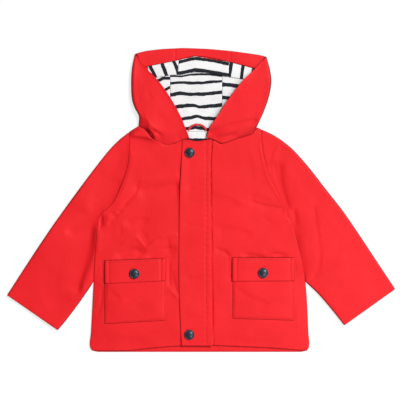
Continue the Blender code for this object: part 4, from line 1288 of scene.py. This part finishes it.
def stitch_points(start, end):
    """One stitch: a rounded bar between two points."""
    radius = STITCH["radius"]
    way = (end - start) / np.linalg.norm(end - start)
    beside = np.cross(way, (0.0, 0.0, 1.0))
    beside /= np.linalg.norm(beside)
    above = np.cross(beside, way)
    angles = np.linspace(0, 2 * np.pi, STITCH_SIDES, endpoint=False)[:, None]
    ring = np.cos(angles) * beside + np.sin(angles) * above
    return np.concatenate([
        (start, end)[at] + way * radius * push + ring * radius * size
        for at, size, push in STITCH_RINGS
    ])


def stitch_faces():
    """Faces of one stitch: round it, and over both of its ends."""
    sides, last = STITCH_SIDES, (len(STITCH_RINGS) - 1) * STITCH_SIDES
    faces = []
    for ring in range(0, last, sides):
        for i in range(sides):
            a, b = ring + i, ring + (i + 1) % sides
            faces.append((a, b, b + sides, a + sides))
    for i in range(1, sides // 2):
        k = sides - i
        cap = (i - 1, i, k - 1, k % sides)
        faces += [cap, tuple(last + corner for corner in cap)]
    return np.array(faces)


def stitched_lines():
    """Rows of stitches down the storm flap, round the pockets and round their flaps.

    Each is a line in plan with the height of the cloth it lies on.
    """
    ends = STORM_FLAP[-1][0] + STORM_STITCH_ENDS, STORM_FLAP[0][0] - STORM_STITCH_ENDS
    yield rail([(STORM_STITCH_X, up) for up in ends]), storm_top
    inset, top, end = POCKET_STITCH, POCKET_STITCH_TOP, FLAP_STITCH_ENDS
    for side in SIGN:
        left, right, low_left, low_right, high_left, high_right = POCKETS[side]
        corners = [
            (left + inset, high_left - top), (left + inset, low_left + inset),
            (right - inset, low_right + inset), (right - inset, high_right - top),
        ]
        for pair in zip(corners, corners[1:]):
            yield rail(pair), lambda x, up: pocket_face(side, x, up)
        left, right, low_left, low_right, high_left, high_right = POCKET_FLAPS[side]
        high_left, high_right = high_left - FLAP_STITCH_TOP, high_right - FLAP_STITCH_TOP
        left_in, right_in = left + FLAP_STITCH_SIDE, right - FLAP_STITCH_SIDE
        for pair in (
            ((left_in, low_left + end), (left_in, high_left)),
            ((left + end, high_left), (right - end, high_right)),
            ((right_in, low_right + end), (right_in, high_right)),
        ):
            yield rail(pair), lambda x, up: pocket_flap_face(side, x, up)


def make_stitching(look):
    """Thread that shows, stitch by stitch."""
    points, faces = [], []
    pattern = stitch_faces()
    for line, height in stitched_lines():
        count = int(line.length / STITCH["pitch"])
        for i in range(count):
            start = (i + STITCH["start"]) / count
            ends = line(np.array((start, start + STITCH["length"] / line.length)))
            levels = height(ends[:, 0], ends[:, 1]) + STITCH["radius"] * STITCH["proud"]
            faces.append(pattern + len(points) * STITCH_SIDES * len(STITCH_RINGS))
            points.append(stitch_points(*raised(ends, levels)))
    made = make_mesh("topstitching", np.concatenate(points), np.concatenate(faces), look)
    join_jacket(made)


# ---------------------------------------------------------------- materials
# Colours are pairs, for the deep and the bright blobs of a tone.
JACKET_RED = ((0.83, 0.0095, 0.0145), (0.89, 0.0115, 0.0185))
THREAD_RED = ((0.60, 0.004, 0.010), (0.70, 0.006, 0.012))
TAPE_RED = ((0.62, 0.010, 0.020), (0.76, 0.018, 0.03))
JERSEY_WHITE = ((0.84, 0.83, 0.83), (0.93, 0.92, 0.92))
JERSEY_NAVY = ((0.004, 0.005, 0.011), (0.008, 0.010, 0.019))
CAP_BLUE = ((0.018, 0.032, 0.050), (0.032, 0.052, 0.075))
TONE_STOPS = (0.3, 0.7)
CAP_STOPS = (0.35, 0.75)
PAINTED_EDGE_SHADE = (0.5, 0.12, 0.98)   # painted shade where the cloth turns down: steepest level, its share of the colour, and full colour
STRIPE_BLUR = 0.012             # of the pitch, at a stripe's edge
STRIPE_START = 20.41            # puts the first stripe's middle where the map counts 0
STRIPE_WAVERS = ((0.0012, 1.0, 0.04), (0.009, 2.0, 0.14))   # blobs' size, detail and share
COATED_ROUGHNESS = 0.6
COATED_SHINE = (0.012, 0.16, -0.08)     # its blobs' size, its range, and where it starts
# Sizes in metres of the blobs of each material's tone.
TONES = {"coated": 0.045, "jersey": 0.02, "tape": 0.004, "cap": 0.002}
WAVE_TURN = 20                  # a wave texture repeats this often in a turn of its scale
WAVE_UNEVEN = 0.4


def begin_material(name, **sockets):
    """A material whose shader has values of its own for the named sockets."""
    made = bpy.data.materials.new(name)
    made.use_nodes = True
    shader = made.node_tree.nodes["Principled BSDF"]
    for key, value in sockets.items():
        shader.inputs[key.replace("_", " ")].default_value = value
    return made, made.node_tree, shader


def add_node(tree, kind, sockets=(), **settings):
    """A node with its settings, and its sockets linked to other nodes or set to values."""
    node = tree.nodes.new(f"ShaderNode{kind}")
    for key, value in settings.items():
        setattr(node, key, value)
    for key, value in dict(sockets).items():
        if isinstance(value, bpy.types.NodeSocket):
            tree.links.new(value, node.inputs[key])
        else:
            node.inputs[key].default_value = value
    return node


def blobs(tree, size, detail=3.0):
    """Noise whose blobs measure about a size in metres."""
    place = add_node(tree, "TexCoord").outputs["Object"]
    sockets = {"Scale": 1 / size, "Detail": detail, "Vector": place}
    return add_node(tree, "TexNoise", sockets).outputs["Fac"]


def ribs(tree, size, direction):
    """Ribs a size apart, in metres."""
    place = add_node(tree, "TexCoord").outputs["Object"]
    scale = 2 * math.pi / (WAVE_TURN * size)
    sockets = {"Scale": scale, "Distortion": WAVE_UNEVEN, "Detail": 1.0, "Vector": place}
    return add_node(tree, "TexWave", sockets, bands_direction=direction).outputs["Fac"]


def crinkles(tree, size):
    return blobs(tree, size, 2.0)


def woven(tree, sizes):
    """Ribs both ways: their sizes across and along."""
    across, along = sizes
    return worked_out(tree, "MULTIPLY", ribs(tree, across, "X"), ribs(tree, along, "Y"))


def twill(tree, size):
    return ribs(tree, size, "DIAGONAL")


def worked_out(tree, operation, *values):
    """A value worked out from one or two others."""
    return add_node(tree, "Math", enumerate(values), operation=operation).outputs["Value"]


def ramp(tree, value, colours, stops=TONE_STOPS):
    """A colour that goes from the first to the second as a value goes from stop to stop."""
    node = add_node(tree, "ValToRGB", {"Fac": value})
    for end, stop, colour in zip(node.color_ramp.elements, stops, colours):
        end.position = stop
        end.color = (*colour, 1.0)
    return node.outputs["Color"]


# The bumps of each material: their pattern, its size and depth in metres, and its strength.
RELIEFS = {
    "coated": (
        (crinkles, 0.009, 0.0005, 0.3), (crinkles, 0.0035, 0.0002, 0.25),
        (woven, (0.0006, 0.0006), 0.00008, 0.3),
    ),
    "jersey": ((crinkles, 0.008, 0.0006, 0.5), (woven, (0.0009, 0.0007), 0.00015, 0.6)),
    "tape": ((twill, 0.0008, 0.0002, 0.6),),
    "cap": ((crinkles, 0.0012, 0.00008, 0.15),),
}


def mixed(tree, blend, share, one, two):
    sockets = {"Factor": share, "A": one, "B": two}
    return add_node(tree, "Mix", sockets, data_type="RGBA", blend_type=blend).outputs["Result"]


def bumped(tree, shader, kind):
    """Gives a shader the bumps of a kind of material, one on top of the other."""
    under = {}
    for pattern, size, depth, strength in RELIEFS[kind]:
        sockets = {"Height": pattern(tree, size), "Distance": depth, "Strength": strength}
        under = {"Normal": add_node(tree, "Bump", {**sockets, **under}).outputs["Normal"]}
    tree.links.new(under["Normal"], shader.inputs["Normal"])


def painted_edge_shade(tree):
    """Painted shade: the colour darkens where the surface turns steeply from facing up, at folds,
    cut edges and steep crease walls.
    """
    square = add_node(tree, "TexCoord").outputs["Normal"]
    level = add_node(tree, "SeparateXYZ", {"Vector": square}).outputs["Z"]
    steepest, share, full = PAINTED_EDGE_SHADE
    return ramp(tree, worked_out(tree, "ABSOLUTE", level), ((share,) * 3, (1.0,) * 3),
                (steepest, full))


def coated_cloth(name, colours):
    """Plain weave under a thin coat: fine ribs both ways, soft crinkles and a satin sheen."""
    made, tree, shader = begin_material(
        name, Roughness=COATED_ROUGHNESS, Sheen_Weight=0.04, Sheen_Roughness=0.4,
        Specular_IOR_Level=0.24,
    )
    colour = ramp(tree, blobs(tree, TONES["coated"]), colours)
    # painted shade: the colour is darkened on steep faces, at folds, edges and crease walls
    shaded = mixed(tree, "MULTIPLY", 1.0, colour, painted_edge_shade(tree))
    tree.links.new(shaded, shader.inputs["Base Color"])
    size, most, start = COATED_SHINE
    shine = worked_out(tree, "MULTIPLY", blobs(tree, size), most)
    shine = worked_out(tree, "ADD", shine, COATED_ROUGHNESS + start)
    tree.links.new(shine, shader.inputs["Roughness"])
    bumped(tree, shader, "coated")
    return made


def striped_jersey(name):
    """Off-white single jersey with navy stripes, counted along the map named stripes."""
    made, tree, shader = begin_material(name, Roughness=0.9, Sheen_Weight=0.06)
    counted = add_node(tree, "UVMap", uv_map="stripes").outputs["UV"]
    index = add_node(tree, "SeparateXYZ", {"Vector": counted}).outputs["X"]
    for size, detail, share in STRIPE_WAVERS:
        waver = worked_out(tree, "MULTIPLY", blobs(tree, size, detail), share)
        index = worked_out(tree, "ADD", index, waver)
    wrapped = worked_out(tree, "FRACT", worked_out(tree, "ADD", index, STRIPE_START))
    away = worked_out(tree, "ABSOLUTE", worked_out(tree, "SUBTRACT", wrapped, 0.5))
    stops = (STRIPE_SHARE / 2 - STRIPE_BLUR, STRIPE_SHARE / 2 + STRIPE_BLUR)
    stripe = ramp(tree, away, ((0.0,) * 3, (1.0,) * 3), stops)
    tone = blobs(tree, TONES["jersey"])
    dark, light = ramp(tree, tone, JERSEY_NAVY), ramp(tree, tone, JERSEY_WHITE)
    tree.links.new(mixed(tree, "MIX", stripe, dark, light), shader.inputs["Base Color"])
    bumped(tree, shader, "jersey")
    return made


def loop_tape(name):
    made, tree, shader = begin_material(name, Roughness=0.6)
    tree.links.new(ramp(tree, blobs(tree, TONES["tape"]), TAPE_RED), shader.inputs["Base Color"])
    bumped(tree, shader, "tape")
    return made


def snap_cap(name):
    """Dark enamel over metal, faintly worn."""
    made, tree, shader = begin_material(
        name, Roughness=0.42, Metallic=0.45, Coat_Weight=0.3, Coat_Roughness=0.25
    )
    colour = ramp(tree, blobs(tree, TONES["cap"]), CAP_BLUE, CAP_STOPS)
    tree.links.new(colour, shader.inputs["Base Color"])
    bumped(tree, shader, "cap")
    return made


# ---------------------------------------------------------------- studio
WHITE = (1.0, 1.0, 1.0, 1.0)
FLOOR_COLOUR = (0.27, 0.27, 0.27, 1.0)
FLOOR_GLOW = 0.75               # as over a light table
FLOOR_HALF, FLOOR_LEVEL = 3.0, -0.0002      # in metres
WORLD_LIGHT = 0.09
LIGHTS = (
    # name, place in metres, side of a square in metres, watts
    ("key", (2.9, 2.5, 4.7), 2.0, 352.0),
    ("fill", (0.72, -0.85, 1.25), 0.8, 6.8),
    ("glint", (0.62, -0.85, 1.50), 0.12, 3.2),
)
CAMERA_LENS = 135.0
CAMERA_HEIGHT = 2.255


def make_floor():
    look, _, _ = begin_material(
        "floor", Roughness=0.95, Base_Color=FLOOR_COLOUR, Emission_Color=WHITE,
        Emission_Strength=FLOOR_GLOW, Specular_IOR_Level=0.0,
    )
    corners = ((-1, -1), (1, -1), (1, 1), (-1, 1))
    mesh = bpy.data.meshes.new("floor")
    places = [(x * FLOOR_HALF, y * FLOOR_HALF, FLOOR_LEVEL) for x, y in corners]
    mesh.from_pydata(places, [], [(0, 1, 2, 3)])
    mesh.materials.append(look)
    floor = bpy.data.objects.new("floor", mesh)
    bpy.context.collection.objects.link(floor)


def make_lights():
    world = bpy.data.worlds.new("studio")
    world.use_nodes = True
    background = world.node_tree.nodes["Background"]
    background.inputs["Color"].default_value = WHITE
    background.inputs["Strength"].default_value = WORLD_LIGHT
    bpy.context.scene.world = world
    for name, place, side, watts in LIGHTS:
        data = bpy.data.lights.new(name, "AREA")
        data.shape = "RECTANGLE"
        data.size = data.size_y = side
        data.energy = watts
        lamp = bpy.data.objects.new(name, data)
        lamp.location = place
        lamp.rotation_euler = (-Vector(place)).to_track_quat("-Z", "Y").to_euler()
        bpy.context.collection.objects.link(lamp)


def make_camera():
    """Straight above the jacket, as in the photograph."""
    data = bpy.data.cameras.new("camera")
    data.lens = CAMERA_LENS
    camera = bpy.data.objects.new("camera", data)
    x, up = from_photo([(PHOTO_SIZE / 2, PHOTO_SIZE / 2)])[0]
    camera.location = (x * MM, up * MM, CAMERA_HEIGHT)
    bpy.context.collection.objects.link(camera)
    bpy.context.scene.camera = camera


def make_jacket():
    outer = coated_cloth("coated cloth", JACKET_RED)
    jersey = striped_jersey("striped jersey")
    make_back(outer)
    for side in SIGN:
        make_front(side, outer)
    make_storm_flap(outer)
    make_patches("pocket", POCKETS, pocket_face, "{}_front_cloth", outer)
    make_patches("pocket_flap", POCKET_FLAPS, pocket_flap_face, "pocket_{}_cloth", outer)
    for side in SIGN:
        make_sleeve(side, outer)
        make_hood_side(side, outer)
    make_hood_centre(outer)
    make_hood_facing(outer)
    make_hood_lining(jersey)
    make_neck_lining(jersey)
    make_hanger_loop(loop_tape("loop tape"))
    cap = snap_cap("snap cap")
    for node in SNAPS:
        make_snap(node, cap)
    make_stitching(coated_cloth("thread", THREAD_RED))


bpy.context.scene.view_settings.view_transform = "Standard"
make_floor()
make_jacket()
make_lights()
make_camera()
